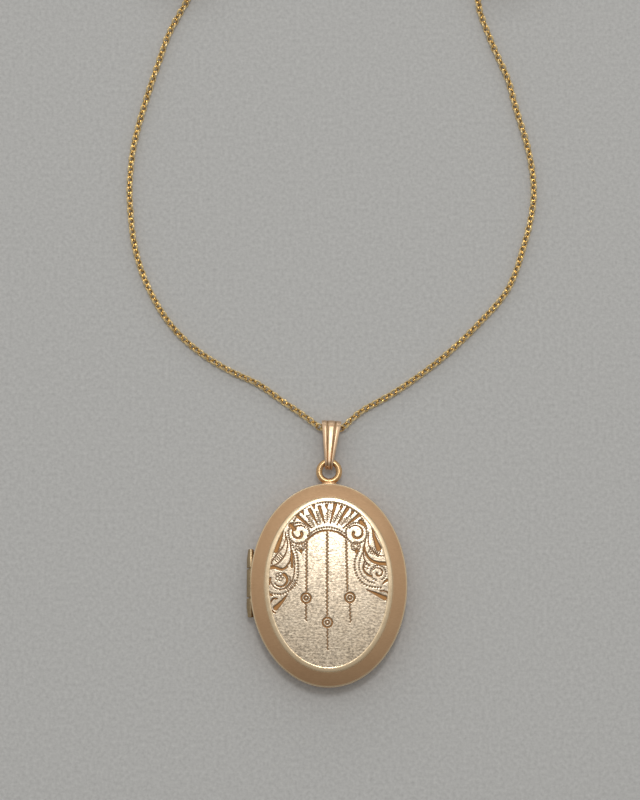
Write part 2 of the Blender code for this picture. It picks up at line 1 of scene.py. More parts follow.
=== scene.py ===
# %% [markdown]
# # An oval locket on a cable chain
# The locket is rolled gold: a thin skin of gold on brass, die-struck into two shells, hinged on
# the left and hung from a fluted bail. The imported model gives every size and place. This lesson
# puts the finished surfaces round it, one piece at a time, from the table up.

# %% Load the frame
import math

import bpy
import numpy as np
from mathutils import Matrix, Vector


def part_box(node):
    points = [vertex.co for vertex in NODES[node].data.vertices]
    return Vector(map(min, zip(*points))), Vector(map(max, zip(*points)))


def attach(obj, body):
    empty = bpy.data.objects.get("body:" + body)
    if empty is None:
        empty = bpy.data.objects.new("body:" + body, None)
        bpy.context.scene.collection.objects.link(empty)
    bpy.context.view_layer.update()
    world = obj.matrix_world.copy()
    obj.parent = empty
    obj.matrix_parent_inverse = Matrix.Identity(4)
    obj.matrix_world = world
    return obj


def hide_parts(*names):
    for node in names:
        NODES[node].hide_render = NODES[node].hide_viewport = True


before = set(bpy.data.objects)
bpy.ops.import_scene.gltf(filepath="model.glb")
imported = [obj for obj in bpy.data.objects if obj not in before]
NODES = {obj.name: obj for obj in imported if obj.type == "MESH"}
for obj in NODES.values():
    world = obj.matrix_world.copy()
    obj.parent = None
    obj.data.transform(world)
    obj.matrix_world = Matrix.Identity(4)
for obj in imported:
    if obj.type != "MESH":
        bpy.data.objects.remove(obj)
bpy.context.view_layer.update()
MM = 0.001

# %% [markdown]
# ## Tools for the bench
# Shapes are worked out in millimetres as whole numpy arrays and become metres only when they turn
# into a mesh. One function skins a grid of points. It measures the volume that the skin encloses,
# so a skin that came out inside-out is turned round before anyone sees it.


# %% Skin a grid of points
SHARP = math.radians(38)        # edges bent by more than this stay sharp


def cells(index):
    """Faces with four corners, one between each pair of rows and columns of point numbers."""
    corners = (index[:-1, :-1], index[:-1, 1:], index[1:, 1:], index[1:, :-1])
    return np.stack(corners, axis=-1).reshape(-1, 4)


def whole_turn(steps):
    """Angles all the way round, the last one a step short of the first."""
    return np.linspace(0, 2 * math.pi, steps, endpoint=False)


def skin(name, points, around=True, along=False, body=None):
    """A closed mesh over a grid of points in mm, shaped (rows, columns, 3).

    Every cell between four neighbours is a face. around joins the last column to the first,
    along joins the last row to the first, and an end row left open is closed by one face.
    """
    rows, columns = points.shape[:2]
    index = np.arange(rows * columns).reshape(rows, columns)
    if around:
        index = np.column_stack((index, index[:, 0]))
    if along:
        index = np.vstack((index, index[0]))
    faces = cells(index).tolist()
    if not along:
        faces.append(list(range(columns))[::-1])
        faces.append(list(range((rows - 1) * columns, rows * columns)))
    return solid(name, points.reshape(-1, 3), faces, body)


def enclosed(points, faces):
    """Signed volume in mm3: the sum of a . (b x c) / 6 over fans of triangles."""
    total = 0.0
    for size in {len(face) for face in faces}:
        same = np.array([face for face in faces if len(face) == size])
        for i in range(1, size - 1):
            a, b, c = points[same[:, 0]], points[same[:, i]], points[same[:, i + 1]]
            total += np.einsum("ij,ij->", a, np.cross(b, c)) / 6
    return total


def solid(name, points, faces, body=None):
    """An object from points in mm and faces, turned outwards, smooth but for its sharp edges."""
    if enclosed(points, faces) < 0:
        faces = [face[::-1] for face in faces]
    mesh = bpy.data.meshes.new(name)
    mesh.from_pydata((points * MM).tolist(), [], faces)
    mesh.shade_smooth()
    mesh.set_sharp_from_angle(angle=SHARP)
    piece = bpy.data.objects.new(name, mesh)
    bpy.context.scene.collection.objects.link(piece)
    if body:
        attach(piece, body)
        print(f"{name}: {len(points)} points on {body}")
    return piece


# %% Cut one piece with another
def carve(piece, cutter):
    """Take the cutter's shape out of the piece for good, and throw the cutter away."""
    step = piece.modifiers.new("carving", "BOOLEAN")
    step.operation = "DIFFERENCE"
    step.solver = "EXACT"
    step.object = cutter
    bpy.context.view_layer.update()
    ready = piece.evaluated_get(bpy.context.evaluated_depsgraph_get())
    cut = bpy.data.meshes.new_from_object(ready)
    piece.modifiers.clear()
    piece.data = cut
    cut.set_sharp_from_angle(angle=SHARP)
    bpy.data.objects.remove(cutter, do_unlink=True)


# %% Add a node, and turn a hex colour to linear
def add(tree, kind, settings=None, sockets=None):
    """A node with its properties set and its inputs filled by values or by other nodes' outputs."""
    made = tree.nodes.new(kind)
    for name, value in (settings or {}).items():
        setattr(made, name, value)
    for name, value in (sockets or {}).items():
        if isinstance(value, bpy.types.NodeSocket):
            tree.links.new(value, made.inputs[name])
        else:
            made.inputs[name].default_value = value
    return made


def linear(hex_colour):
    """sRGB to linear: ((c + 0.055) / 1.055) to the power 2.4, or c / 12.92 in the darkest part."""
    channels = [int(hex_colour[i:i + 2], 16) / 255 for i in (1, 3, 5)]
    return (*[((c + 0.055) / 1.055) ** 2.4 if c > 0.04045 else c / 12.92 for c in channels], 1.0)


# %% [markdown]
# ## Camera, table and light
# Small jewellery is photographed from nearly overhead in a tent of white cloth. The camera stands
# a little towards the locket's foot. Three soft boxes hang beyond the bail. A broad one gives the
# even glow, and a small key puts the bright patch on the upper panel and the soft shadow under the
# lower edge. A long low strip draws a thin line of light along the worn edge. The world stands for
# the tent.

# %% Camera
TILT = math.radians(9.0)
DISTANCE = 330.0
AIM = Vector((-1.26, 28.1, 0.0))
LENS = 98.4
camera = bpy.data.objects.new("camera", bpy.data.cameras.new("camera"))
camera.data.lens = LENS
camera.data.clip_start = 0.01
camera.rotation_euler = (TILT, 0.0, 0.0)
camera.location = (AIM + Vector((0.0, -math.sin(TILT), math.cos(TILT))) * DISTANCE) * MM
bpy.context.scene.collection.objects.link(camera)
bpy.context.scene.camera = camera
bpy.context.scene.view_settings.view_transform = "Standard"


# %% Table, soft boxes and tent
TENT_NEAR = 0.22        # glow of the cloth on the camera's side
TENT_FAR = 0.52         # glow of the cloth beyond the bail


def soft_box(name, place, aim, width, height, power):
    """A rectangular lamp at place, in mm, facing aim."""
    lamp = bpy.data.lights.new(name, "AREA")
    lamp.shape = "RECTANGLE"
    lamp.size = width * MM
    lamp.size_y = height * MM
    lamp.energy = power
    item = bpy.data.objects.new(name, lamp)
    item.location = Vector(place) * MM
    item.rotation_euler = (Vector(aim) - Vector(place)).to_track_quat("-Z", "Y").to_euler()
    bpy.context.scene.collection.objects.link(item)


soft_box("overhead_box", (10, 205, 620), (0, 10, 0), 620, 300, 0.205)
soft_box("key_box", (15, 200, 650), (0, 10, 0), 100, 120, 0.60)
soft_box("edge_strip", (-60, 600, 200), (0, 10, 0), 900, 70, 0.30)

world = bpy.data.worlds.new("tent")
world.use_nodes = True
cloth = world.node_tree
cloth_side = add(cloth, "ShaderNodeSeparateXYZ", None, {
    "Vector": add(cloth, "ShaderNodeTexCoord").outputs["Generated"]})
cloth_glow = add(cloth, "ShaderNodeMapRange", None, {
    "Value": cloth_side.outputs["Y"], "From Min": -0.7, "From Max": 0.3,
    "To Min": TENT_NEAR, "To Max": TENT_FAR})
cloth.nodes["Background"].inputs["Color"].default_value = linear("#FFFDF8")
cloth.links.new(cloth_glow.outputs["Result"], cloth.nodes["Background"].inputs["Strength"])
bpy.context.scene.world = world

floor_mesh = bpy.data.meshes.new("table")
floor_mesh.from_pydata([(-2, -2, 0), (2, -2, 0), (2, 2, 0), (-2, 2, 0)], [], [(0, 1, 2, 3)])
floor = bpy.data.objects.new("table", floor_mesh)
bpy.context.scene.collection.objects.link(floor)

# %% [markdown]
# ## The finishes
# Rolled gold is a real metal skin, so every gold finish is fully metallic and differs in alloy
# colour and in how it was worked. A satin finish is rubbed with fine abrasive and reads as an even
# glow. A brushed finish shows its strokes. A polished one mirrors the tent, and the polished rose
# is also painted lighter than the satin rose, a painted highlight. The clean way to tell them apart
# is roughness and the direction and size of the marks, each taken in millimetres.


# %% A worked metal
def new_finish(name):
    """A material with its node tree and its shader."""
    made = bpy.data.materials.new(name)
    made.use_nodes = True
    return made, made.node_tree, made.node_tree.nodes["Principled BSDF"]


def worked_metal(name, light, dark, roughness, mark, cloud=5.0, depth=0.004, spread=0.06):
    """Metal whose colour drifts from light to dark over cloud mm, with tool marks of mark mm.

    mark gives the size of a mark along X, Y and Z. depth is how deep the marks go in mm, and
    spread is how far the roughness wanders either side of its middle.
    """
    made, tree, shader = new_finish(name)
    shader.inputs["Metallic"].default_value = 1.0
    here = add(tree, "ShaderNodeTexCoord").outputs["Object"]
    clouds = add(tree, "ShaderNodeTexNoise", None, {
        "Vector": here, "Scale": 1 / (cloud * MM), "Detail": 3.0, "Roughness": 0.55})
    scaled = add(tree, "ShaderNodeMapping", None, {
        "Vector": here, "Scale": [1 / (size * MM) for size in mark]})
    marks = add(tree, "ShaderNodeTexNoise", None, {
        "Vector": scaled.outputs["Vector"], "Scale": 1.0, "Detail": 3.0, "Roughness": 0.6})
    mixed = add(tree, "ShaderNodeMath", {"operation": "MULTIPLY_ADD"}, {
        0: marks.outputs["Fac"], 1: 0.6, 2: -0.05})
    drift = add(tree, "ShaderNodeMath", {"operation": "MULTIPLY_ADD", "use_clamp": True}, {
        0: clouds.outputs["Fac"], 1: 0.5, 2: mixed.outputs["Value"]})
    tint = add(tree, "ShaderNodeMix", {"data_type": "RGBA"}, {
        "Factor": drift.outputs["Value"], 6: linear(dark), 7: linear(light)})
    tree.links.new(tint.outputs[2], shader.inputs["Base Color"])
    wander = add(tree, "ShaderNodeMapRange", None, {
        "Value": marks.outputs["Fac"], "From Min": 0.3, "From Max": 0.7,
        "To Min": roughness - spread, "To Max": roughness + spread})
    tree.links.new(wander.outputs["Result"], shader.inputs["Roughness"])
    relief = add(tree, "ShaderNodeBump", None, {
        "Height": marks.outputs["Fac"], "Strength": 0.5, "Distance": depth * MM})
    tree.links.new(relief.outputs["Normal"], shader.inputs["Normal"])
    print("finish:", name)
    return made


# %% Cuts, dirt and grain
def darken_cuts_and_shade(made, brown, shallow, deep, dull=0.48):
    """Let a finish go to brown, and duller, as the mesh's cut attribute runs from shallow to deep.

    The attribute is a depth in mm on cut pieces. On the chain it is a share from 0 to 1 on the
    inner side of each link's wire, where the brown is painted shade.
    """
    tree = made.node_tree
    shader = tree.nodes["Principled BSDF"]
    plain = shader.inputs["Base Color"].links[0].from_socket
    rough = shader.inputs["Roughness"].links[0].from_socket
    depth = add(tree, "ShaderNodeAttribute", {"attribute_name": "cut"}).outputs["Fac"]
    share = add(tree, "ShaderNodeMapRange", {"interpolation_type": "SMOOTHSTEP"}, {
        "Value": depth, "From Min": shallow, "From Max": deep})
    tint = add(tree, "ShaderNodeMix", {"data_type": "RGBA"}, {
        "Factor": share.outputs["Result"], 6: plain, 7: linear(brown)})
    tree.links.new(tint.outputs[2], shader.inputs["Base Color"])
    matt = add(tree, "ShaderNodeMix", {"data_type": "FLOAT"}, {
        "Factor": share.outputs["Result"], 2: rough, 3: dull})
    tree.links.new(matt.outputs[0], shader.inputs["Roughness"])
    return made


def painted_glint_speckle(made, grain, low, high):
    """Multiply a finish's colour by grains of grain mm that run from low to high: painted glints.
    """
    tree = made.node_tree
    shader = tree.nodes["Principled BSDF"]
    plain = shader.inputs["Base Color"].links[0].from_socket
    here = add(tree, "ShaderNodeTexCoord").outputs["Object"]
    stretched = add(tree, "ShaderNodeMapping", None, {"Vector": here, "Scale": (0.6, 1.0, 1.0)})
    grains = add(tree, "ShaderNodeTexNoise", None, {
        "Vector": stretched.outputs["Vector"], "Scale": 1 / (grain * MM),
        "Detail": 2.0, "Roughness": 0.7})
    shade = add(tree, "ShaderNodeMapRange", None, {
        "Value": grains.outputs["Fac"], "From Min": 0.35, "From Max": 0.65,
        "To Min": low, "To Max": high})
    speckled = add(tree, "ShaderNodeMix", {"data_type": "RGBA", "blend_type": "MULTIPLY"}, {
        "Factor": 1.0, 6: plain, 7: shade.outputs["Result"]})
    tree.links.new(speckled.outputs[2], shader.inputs["Base Color"])
    return made


def keep_cuts_and_shade(piece, values):
    """Store how far each point lies in a cut or a hollow, or on the chain its share of painted
    shade, as the attribute a finish reads.
    """
    mark = piece.data.attributes.new("cut", "FLOAT", "POINT")
    mark.data.foreach_set("value", np.asarray(values, dtype=np.float32))


# %% The golds and the steel
SATIN_ROSE = worked_metal("rolled_rose_gold_satin", "#F2CBA0", "#CDA079", 0.34,
                          (0.5, 0.12, 0.3), cloud=7.0, depth=0.003)
# The polished finish is lighter than the satin of the same gold: a painted highlight on the step
# and the worn edge.
POLISHED_ROSE_PAINTED_HIGHLIGHT = worked_metal("rolled_rose_gold_polished_painted_highlight", "#FFEBCB", "#F8D8AC", 0.17,
                             (0.8, 0.8, 0.8), depth=0.001, spread=0.04)
POLISHED_GOLD = worked_metal("gold_filled_polished", "#EFCA98", "#DCAF7A", 0.26,
                             (0.6, 0.6, 0.6), depth=0.002, spread=0.05)
CHAIN_GOLD = worked_metal("yellow_gold_filled_drawn_wire", "#FFE9B8", "#F0CD8A", 0.27,
                          (0.4, 0.4, 0.4), cloud=2.0, depth=0.002, spread=0.05)
# The chain's inner wire sides turn dark brown: painted shade where the links pass through each
# other.
darken_cuts_and_shade(CHAIN_GOLD, "#5E3C14", 0.45, 1.0)
# The hinge's dark greenish grey is painted: it stands for the dark reflection along the barrel.
HINGE_GOLD = worked_metal("gold_filled_painted_dark_reflection", "#CDB48E", "#7E7059", 0.32,
                          (0.3, 0.3, 0.3), cloud=2.5, depth=0.003)
SPRING_STEEL = worked_metal("spring_steel_drawn_wire", "#B9BABC", "#8E9092", 0.30,
                            (0.1, 0.1, 0.1), cloud=1.0, depth=0.001)


# %% The table's paper
def paper_finish(name, light, dark, fibre, depth):
    """Matt paper: short fibres of fibre mm, a little lighter and darker than each other."""
    made, tree, shader = new_finish(name)
    shader.inputs["Roughness"].default_value = 0.9
    here = add(tree, "ShaderNodeTexCoord").outputs["Object"]
    fibres = add(tree, "ShaderNodeTexNoise", None, {
        "Vector": here, "Scale": 1 / (fibre * MM), "Detail": 5.0, "Roughness": 0.65})
    tint = add(tree, "ShaderNodeMix", {"data_type": "RGBA"}, {
        "Factor": fibres.outputs["Fac"], 6: linear(dark), 7: linear(light)})
    tree.links.new(tint.outputs[2], shader.inputs["Base Color"])
    relief = add(tree, "ShaderNodeBump", None, {
        "Height": fibres.outputs["Fac"], "Strength": 0.4, "Distance": depth * MM})
    tree.links.new(relief.outputs["Normal"], shader.inputs["Normal"])
    return made


floor_mesh.materials.append(paper_finish("pale_table_paper", "#EDEDEC", "#B4B4B3", 0.55, 0.05))
CARD_PAPER = paper_finish("blank_picture_card", "#F2EBDC", "#DCD2BE", 0.5, 0.01)

# %% [markdown]
# ## The chain
# A cable chain is drawn wire bent into equal oval links, each turned a quarter from the last. When
# it lies on a table it rolls until neighbours lean about 45 degrees to either side, so every link
# shows its hole. It could be an array along a curve. Working out all links at once gives each its
# own lean, and lets the last one hook its ring exactly. What the camera doesn't see is wound into
# one neat coil on each side.

# %% The routes on the table, in mm
ROUTE_LEFT = [
    (-0.35, 23.62, 1.18), (-1.20, 23.72, 1.16), (-2.60, 24.75, 0.98), (-4.45, 26.15, 0.66),
    (-7.00, 27.90, 0.53), (-10.60, 30.45, 0.53), (-15.00, 32.55, 0.53), (-19.20, 35.15, 0.53),
    (-22.75, 38.25, 0.53), (-25.65, 42.15, 0.53), (-28.10, 47.10, 0.53), (-29.60, 52.25, 0.53),
    (-30.30, 58.20, 0.53), (-30.35, 62.75, 0.53), (-29.70, 68.35, 0.53), (-27.90, 75.35, 0.53),
    (-26.00, 81.40, 0.53), (-24.50, 85.75, 0.53), (-21.80, 90.90, 0.53), (-21.15, 92.10, 0.53),
]
ROUTE_RIGHT = [
    (-0.05, 23.60, 1.18), (1.95, 23.62, 1.14), (3.20, 24.75, 0.92), (5.30, 26.50, 0.60),
    (9.70, 29.00, 0.53), (14.35, 32.20, 0.53), (18.25, 35.35, 0.53), (22.70, 39.65, 0.53),
    (27.30, 45.10, 0.53), (29.95, 52.25, 0.53), (31.30, 58.20, 0.53), (31.35, 62.75, 0.53),
    (30.50, 67.80, 0.53), (28.90, 73.50, 0.53), (27.70, 78.15, 0.53), (25.60, 83.25, 0.53),
    (23.70, 88.45, 0.53), (23.25, 90.90, 0.53), (22.90, 93.05, 0.53),
]
CHAIN_DIAMETER = 1.05


# %% A smooth line through points
def distances(line):
    """How far along a line each of its points lies."""
    return np.concatenate(([0.0], np.cumsum(np.linalg.norm(np.diff(line, axis=0), axis=1))))


def places(line, marks):
    """The points of a line at the given distances along it."""
    run = distances(line)
    return np.column_stack([np.interp(marks, run, axis) for axis in line.T])


def smooth_line(knots, step):
    """Even points on a Catmull-Rom curve.

    Between b and c the curve is b + s(c-a)/2 + s^2(a - 5b/2 + 2c - d/2) + s^3(d - a + 3(b-c))/2.
    """
    padded = np.vstack((2 * knots[0] - knots[1], knots, 2 * knots[-1] - knots[-2]))
    a, b, c, d = (padded[i:len(padded) - 3 + i, None, :] for i in range(4))
    s = np.linspace(0.0, 1.0, 24, endpoint=False)[None, :, None]
    fine = (b + 0.5 * s * (c - a) + s ** 2 * (a - 2.5 * b + 2 * c - 0.5 * d)
            + 0.5 * s ** 3 * (d - a + 3 * (b - c)))
    fine = np.vstack((fine.reshape(-1, knots.shape[1]), knots[-1:]))
    length = distances(fine)[-1]
    return places(fine, np.linspace(0.0, length, int(round(length / step)) + 1))


# %% The coil's turns
COIL_RADIUS = 5.35      # to the line between the two turns
OUTER_TURN = COIL_RADIUS + CHAIN_DIAMETER / 2
INNER_TURN = COIL_RADIUS - CHAIN_DIAMETER / 2
LOWER_LAYER = 0.53
UPPER_LAYER = LOWER_LAYER + CHAIN_DIAMETER
LEAVING = 1.08          # how far the chain has swung out as it leaves the coil for its ring
COIL_STEP = 12.0        # degrees between points


def coil_turns(route, middle, sense, last_point):
    """Two turns wide and two high: in along the lower layer, up, and out along the upper one.

    The plan lists the angle travelled, the radius and the height. Between its rows both ease
    by 3s^2 - 2s^3. Clockwise coils have a sense of -1.
    """
    start = np.array(route[-1][:2]) - middle
    first = math.atan2(start[1], start[0])
    end = np.array(last_point[:2]) - middle
    swept = math.degrees(sense * (math.atan2(end[1], end[0]) - first)) % 360
    reach = np.linalg.norm(start)
    plan = np.array([
        (0, reach, LOWER_LAYER), (26, OUTER_TURN, LOWER_LAYER), (346, OUTER_TURN, LOWER_LAYER),
        (386, INNER_TURN, LOWER_LAYER), (700, INNER_TURN, LOWER_LAYER),
        (746, INNER_TURN, UPPER_LAYER), (1066, INNER_TURN, UPPER_LAYER),
        (1106, OUTER_TURN, UPPER_LAYER), (1426, OUTER_TURN, UPPER_LAYER),
        (1464, OUTER_TURN + LEAVING, UPPER_LAYER),
        (1440 + swept, np.linalg.norm(end), last_point[2])])
    angle = np.append(np.arange(COIL_STEP, plan[-1, 0] - COIL_STEP / 2, COIL_STEP), plan[-1, 0])
    row = np.clip(np.searchsorted(plan[:, 0], angle, side="right") - 1, 0, len(plan) - 2)
    share = (angle - plan[row, 0]) / (plan[row + 1, 0] - plan[row, 0])
    ease = np.where(row == 0, 1 - (1 - share) ** 2, 3 * share ** 2 - 2 * share ** 3)[:, None]
    radius, height = (plan[row, 1:] * (1 - ease) + plan[row + 1, 1:] * ease).T
    turn = first + sense * np.radians(angle)
    return np.column_stack((middle[0] + radius * np.cos(turn),
                            middle[1] + radius * np.sin(turn), height))


# %% The links
WIRE = 0.16             # radius
LINK_HALF_LENGTH = 0.57
LINK_HALF_WIDTH = 0.47
LINK_PITCH = 2 * (LINK_HALF_LENGTH - WIRE)
END_TO_WIRE = 0.24      # from the middle of the last link to the middle of its ring's wire
START_TO_LINK = 0.26
SIGHT = 0.4             # how far ahead and behind a link the chain's direction is read
PATH_STEP = 0.3
LEAN = 45.0             # degrees a link has rolled, to either side in turn
LEAN_SPREAD = 3.0
ROUND_LINK = 14
ROUND_WIRE = 6


def chain_side(name, path, seed):
    """All links of one side at once.

    A link is an oval ring: middle line (l cos t, w sin t), with a round wire about it. It is
    rolled about the chain's line by its lean, and set down until it or a neighbour touches.
    """
    length = distances(path)[-1]
    count = int(round((length - END_TO_WIRE - START_TO_LINK) / LINK_PITCH)) + 1
    marks = np.linspace(START_TO_LINK, length - END_TO_WIRE, count)
    middle = places(path, marks)
    forward = places(path, marks + SIGHT) - places(path, marks - SIGHT)
    forward /= np.linalg.norm(forward, axis=1)[:, None]
    aside = np.cross((0.0, 0.0, 1.0), forward)
    aside /= np.linalg.norm(aside, axis=1)[:, None]
    up = np.cross(forward, aside)
    draw = np.random.default_rng(seed)
    lean = np.radians(LEAN + draw.normal(0.0, LEAN_SPREAD, count))
    lean = lean - (np.arange(count) % 2) * math.pi / 2
    tall = LINK_HALF_WIDTH * np.abs(np.sin(lean)) + WIRE
    rest = np.maximum.reduce((tall, np.roll(tall, 1), np.roll(tall, -1)))
    middle[:, 2] = np.maximum(middle[:, 2] + rest - LOWER_LAYER, rest)
    broad = np.cos(lean)[:, None] * aside + np.sin(lean)[:, None] * up
    thick = np.cross(forward, broad)

    t = whole_turn(ROUND_LINK)[:, None]
    p = whole_turn(ROUND_WIRE)[None, :]
    out = np.hypot(LINK_HALF_WIDTH * np.cos(t), LINK_HALF_LENGTH * np.sin(t))
    x = LINK_HALF_LENGTH * np.cos(t) + WIRE * np.cos(p) * LINK_HALF_WIDTH * np.cos(t) / out
    y = LINK_HALF_WIDTH * np.sin(t) + WIRE * np.cos(p) * LINK_HALF_LENGTH * np.sin(t) / out
    z = WIRE * np.sin(p) + 0 * t
    ring = np.stack((x, y, z), axis=-1).reshape(-1, 3)
    turned = np.stack((forward, broad, thick), axis=1)
    points = middle[:, None, :] + np.einsum("kj,nji->nki", ring, turned)

    index = np.arange(len(ring)).reshape(ROUND_LINK, ROUND_WIRE)
    index = np.vstack((index, index[0]))
    index = np.column_stack((index, index[:, 0]))
    faces = cells(index)[None] + (np.arange(count) * len(ring))[:, None, None]
    chain = solid(name, points.reshape(-1, 3), faces.reshape(-1, 4).tolist(), "chain")
    # Painted shade: 1 on the inner side of the wire, facing the link's hole, fading to 0 at its
    # sides.
    inside = np.clip(-np.cos(p) + 0 * t, 0, 1).ravel()
    keep_cuts_and_shade(chain, np.tile(inside, count))
    chain.data.materials.append(CHAIN_GOLD)
    print(f"{name}: {count} links along {length:.1f} mm")
    return chain, length


# %% Both sides of the chain
def box_middle(node):
    """Middle and half size of a node's box, in mm."""
    low, high = (np.array(corner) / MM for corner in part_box(node))
    return (low + high) / 2, (high - low) / 2


def lay_side(side, route, sense, ring_node, wire, seed):
    """Route, coil and links of one side, ending in the near wire of its ring."""
    coil, _ = box_middle("chain_coil_" + side)
    ring, ring_half = box_middle(ring_node)
    ray = ring[:2] - coil[:2]
    ray /= np.linalg.norm(ray)
    coming = sense * np.array((-ray[1], ray[0]))
    hook = np.append(ring[:2] - coming * (ring_half[0] - wire), ring[2])
    turns = coil_turns(route, coil[:2], sense, hook)
    path = smooth_line(np.vstack((np.array(route), turns)), PATH_STEP)
    chain, length = chain_side(f"chain_{side}_links", path, seed)
    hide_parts("chain_" + side, "chain_coil_" + side)


EYE_WIRE = 0.17         # radius of the wire that each side's last link hooks
END_RING_WIRE = 0.25
lay_side("left", ROUTE_LEFT, 1, "clasp_eye", EYE_WIRE, seed=11)
lay_side("right", ROUTE_RIGHT, -1, "end_ring", END_RING_WIRE, seed=12)
for node in ("clasp_body", "clasp_tongue", "clasp_eye", "end_ring"):
    NODES[node].data.materials.clear()
    NODES[node].data.materials.append(CHAIN_GOLD)
NODES["clasp_spring"].data.materials.clear()
NODES["clasp_spring"].data.materials.append(SPRING_STEEL)

# %% [markdown]
# ## The case
# Both shells are ovals struck from 0.35 mm sheet. An even border runs round them, so a scaled
# circle won't do: the inset is the same all the way. The shell is a profile of inset and depth
# carried round the oval. The front border ends in a polished step that frames the engraved panel,
# and its outer edge is rubbed smooth by wear. Both are given a lighter colour than the border, a
# painted highlight.

# %% Sizes read from the model
HALF_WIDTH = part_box("front_cover")[1][0] / MM
HALF_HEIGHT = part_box("front_cover")[1][1] / MM
PARTING = (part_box("front_cover")[0][2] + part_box("back_cover")[1][2]) / 2 / MM
FRONT_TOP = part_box("front_cover")[1][2] / MM
SHEET = 0.35
GAP = 0.02              # each shell stops this far from the parting plane
ROUND_OVAL = 256
print(f"oval {2 * HALF_WIDTH:.1f} x {2 * HALF_HEIGHT:.1f} mm, parting at {PARTING:.2f} mm")


# %% Carry a profile round the oval
def oval_rows(profile, side, steps=ROUND_OVAL):
    """Rows of points: ((a - inset) cos t, (b - inset) sin t) at parting + side * depth."""
    inset, depth = (column[:, None] for column in np.array(profile, dtype=float).T)
    t = whole_turn(steps)[None, :]
    return np.stack(((HALF_WIDTH - inset) * np.cos(t), (HALF_HEIGHT - inset) * np.sin(t),
                     PARTING + side * depth + 0 * t), axis=-1)


def bend(start, corner, end, count):
    """A rounded corner between two points: (1-s)^2 start + 2s(1-s) corner + s^2 end."""
    s = np.linspace(0, 1, count)[:, None]
    start, corner, end = (np.array(point) for point in (start, corner, end))
    return [tuple(p) for p in (1 - s) ** 2 * start + 2 * s * (1 - s) * corner + s ** 2 * end]


# %% The hinge's cutters
def lathe(profile, steps, node_middle):
    """A loop of (radius, y) pairs turned about the hinge line: (r cos t, y, r sin t)."""
    radius, y = (column[:, None] for column in np.array(profile, dtype=float).T)
    t = whole_turn(steps)[None, :]
    return np.stack((node_middle[0] + radius * np.cos(t), y + 0 * t,
                     node_middle[2] + radius * np.sin(t)), axis=-1)


KNUCKLES = ("hinge_knuckle_lower", "hinge_knuckle_middle", "hinge_knuckle_upper")
OWNERS = (-1, 1, -1)
HINGE_MIDDLE, KNUCKLE_HALF = box_middle("hinge_knuckle_middle")
KNUCKLE_RADIUS = KNUCKLE_HALF[0]
KNUCKLE_GAP = 0.12
SOLDER_GAP = 0.02       # a tube to the half that carries it
RUNNING_GAP = 0.07      # a tube to the half that swings past it
FLAT_INSET = 0.05       # the flat filed on the edge, from the hinge line
FLAT_HALF_LENGTH = 8.0
FLAT_REACH = 2.0        # how far out from the flat the case is cleared
PAST_THE_CASE = (-2.0, 7.0)     # heights below and above everything that is cut
SPANS = [(box_middle(k)[0][1] - box_middle(k)[1][1], box_middle(k)[0][1] + box_middle(k)[1][1])
         for k in KNUCKLES]


def seat_hinge(piece, side):
    """Cut a close saddle at this half's own knuckles and running room at the others."""
    profile = []
    for i, ((start, end), owner) in enumerate(zip(SPANS, OWNERS)):
        radius = KNUCKLE_RADIUS + (SOLDER_GAP if owner == side else RUNNING_GAP)
        first = start - KNUCKLE_GAP / (1 if i == 0 else 2)
        last = end + KNUCKLE_GAP / (1 if i == len(SPANS) - 1 else 2)
        profile += [(radius, first), (radius, last)]
    cutter = skin("hinge_cutter", lathe(profile, 64, HINGE_MIDDLE))
    carve(piece, cutter)
    flat = HINGE_MIDDLE[0] + FLAT_INSET
    square = ((flat - FLAT_REACH, -FLAT_HALF_LENGTH), (flat, -FLAT_HALF_LENGTH),
              (flat, FLAT_HALF_LENGTH), (flat - FLAT_REACH, FLAT_HALF_LENGTH))
    corners = np.array([[(x, y, z) for x, y in square] for z in PAST_THE_CASE])
    carve(piece, skin("flat_cutter", corners))


# %% The front border and its polished step
wall = [(0.0, GAP), (0.0, 0.6), (0.0, 1.18)]
worn_edge = bend((0.0, 1.22), (0.0, 1.43), (0.2, 1.46), 6)
slope = [(0.55, 1.60), (0.9, 1.73), (1.25, 1.85), (1.6, 1.965), (1.8, 2.03), (1.95, 2.08)]
step = (
    bend((2.02, 2.10), (2.07, 2.115), (2.09, 2.20), 4)
    + bend((2.11, 2.34), (2.13, 2.47), (2.26, 2.50), 6)
    + [(2.42, 2.525), (2.62, 2.54)] + bend((2.80, 2.545), (2.87, 2.545), (2.88, 2.47), 4))
underside = [(2.88, 2.15), (2.33, 1.83), (SHEET, 1.13), (SHEET, GAP)]
border = wall + worn_edge + slope + step + underside
front_border = skin("front_border", oval_rows(border, 1), along=True, body="front")
front_border.data.materials.append(SATIN_ROSE)
front_border.data.materials.append(POLISHED_ROSE_PAINTED_HIGHLIGHT)
which = np.zeros(len(front_border.data.polygons), dtype=np.int32)
edge_start = len(wall) - 1
step_start = len(wall + worn_edge + slope)
# The worn edge and the step take the polished finish, whose lighter colour is a painted highlight.
which[edge_start * ROUND_OVAL:(edge_start + len(worn_edge)) * ROUND_OVAL] = 1
which[step_start * ROUND_OVAL:(step_start + len(step)) * ROUND_OVAL] = 1
front_border.data.polygons.foreach_set("material_index", which)
seat_hinge(front_border, 1)

# %% The back shell
back_rows = (
    [(2.33, 2.2)] + bend((2.25, 2.19), (2.2, 2.17), (2.1, 2.13), 4)
    + [(1.6, 1.95), (1.1, 1.77), (0.6, 1.60)] + bend((0.2, 1.46), (0.0, 1.40), (0.0, 1.22), 6)
    + [(0.0, 0.6), (0.0, GAP), (SHEET, GAP), (SHEET, 1.13), (2.33, 1.85)])
back_shell = skin("back_shell", oval_rows(back_rows, -1), body="back")
back_shell.data.materials.append(SATIN_ROSE)
seat_hinge(back_shell, -1)
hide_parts("back_cover")

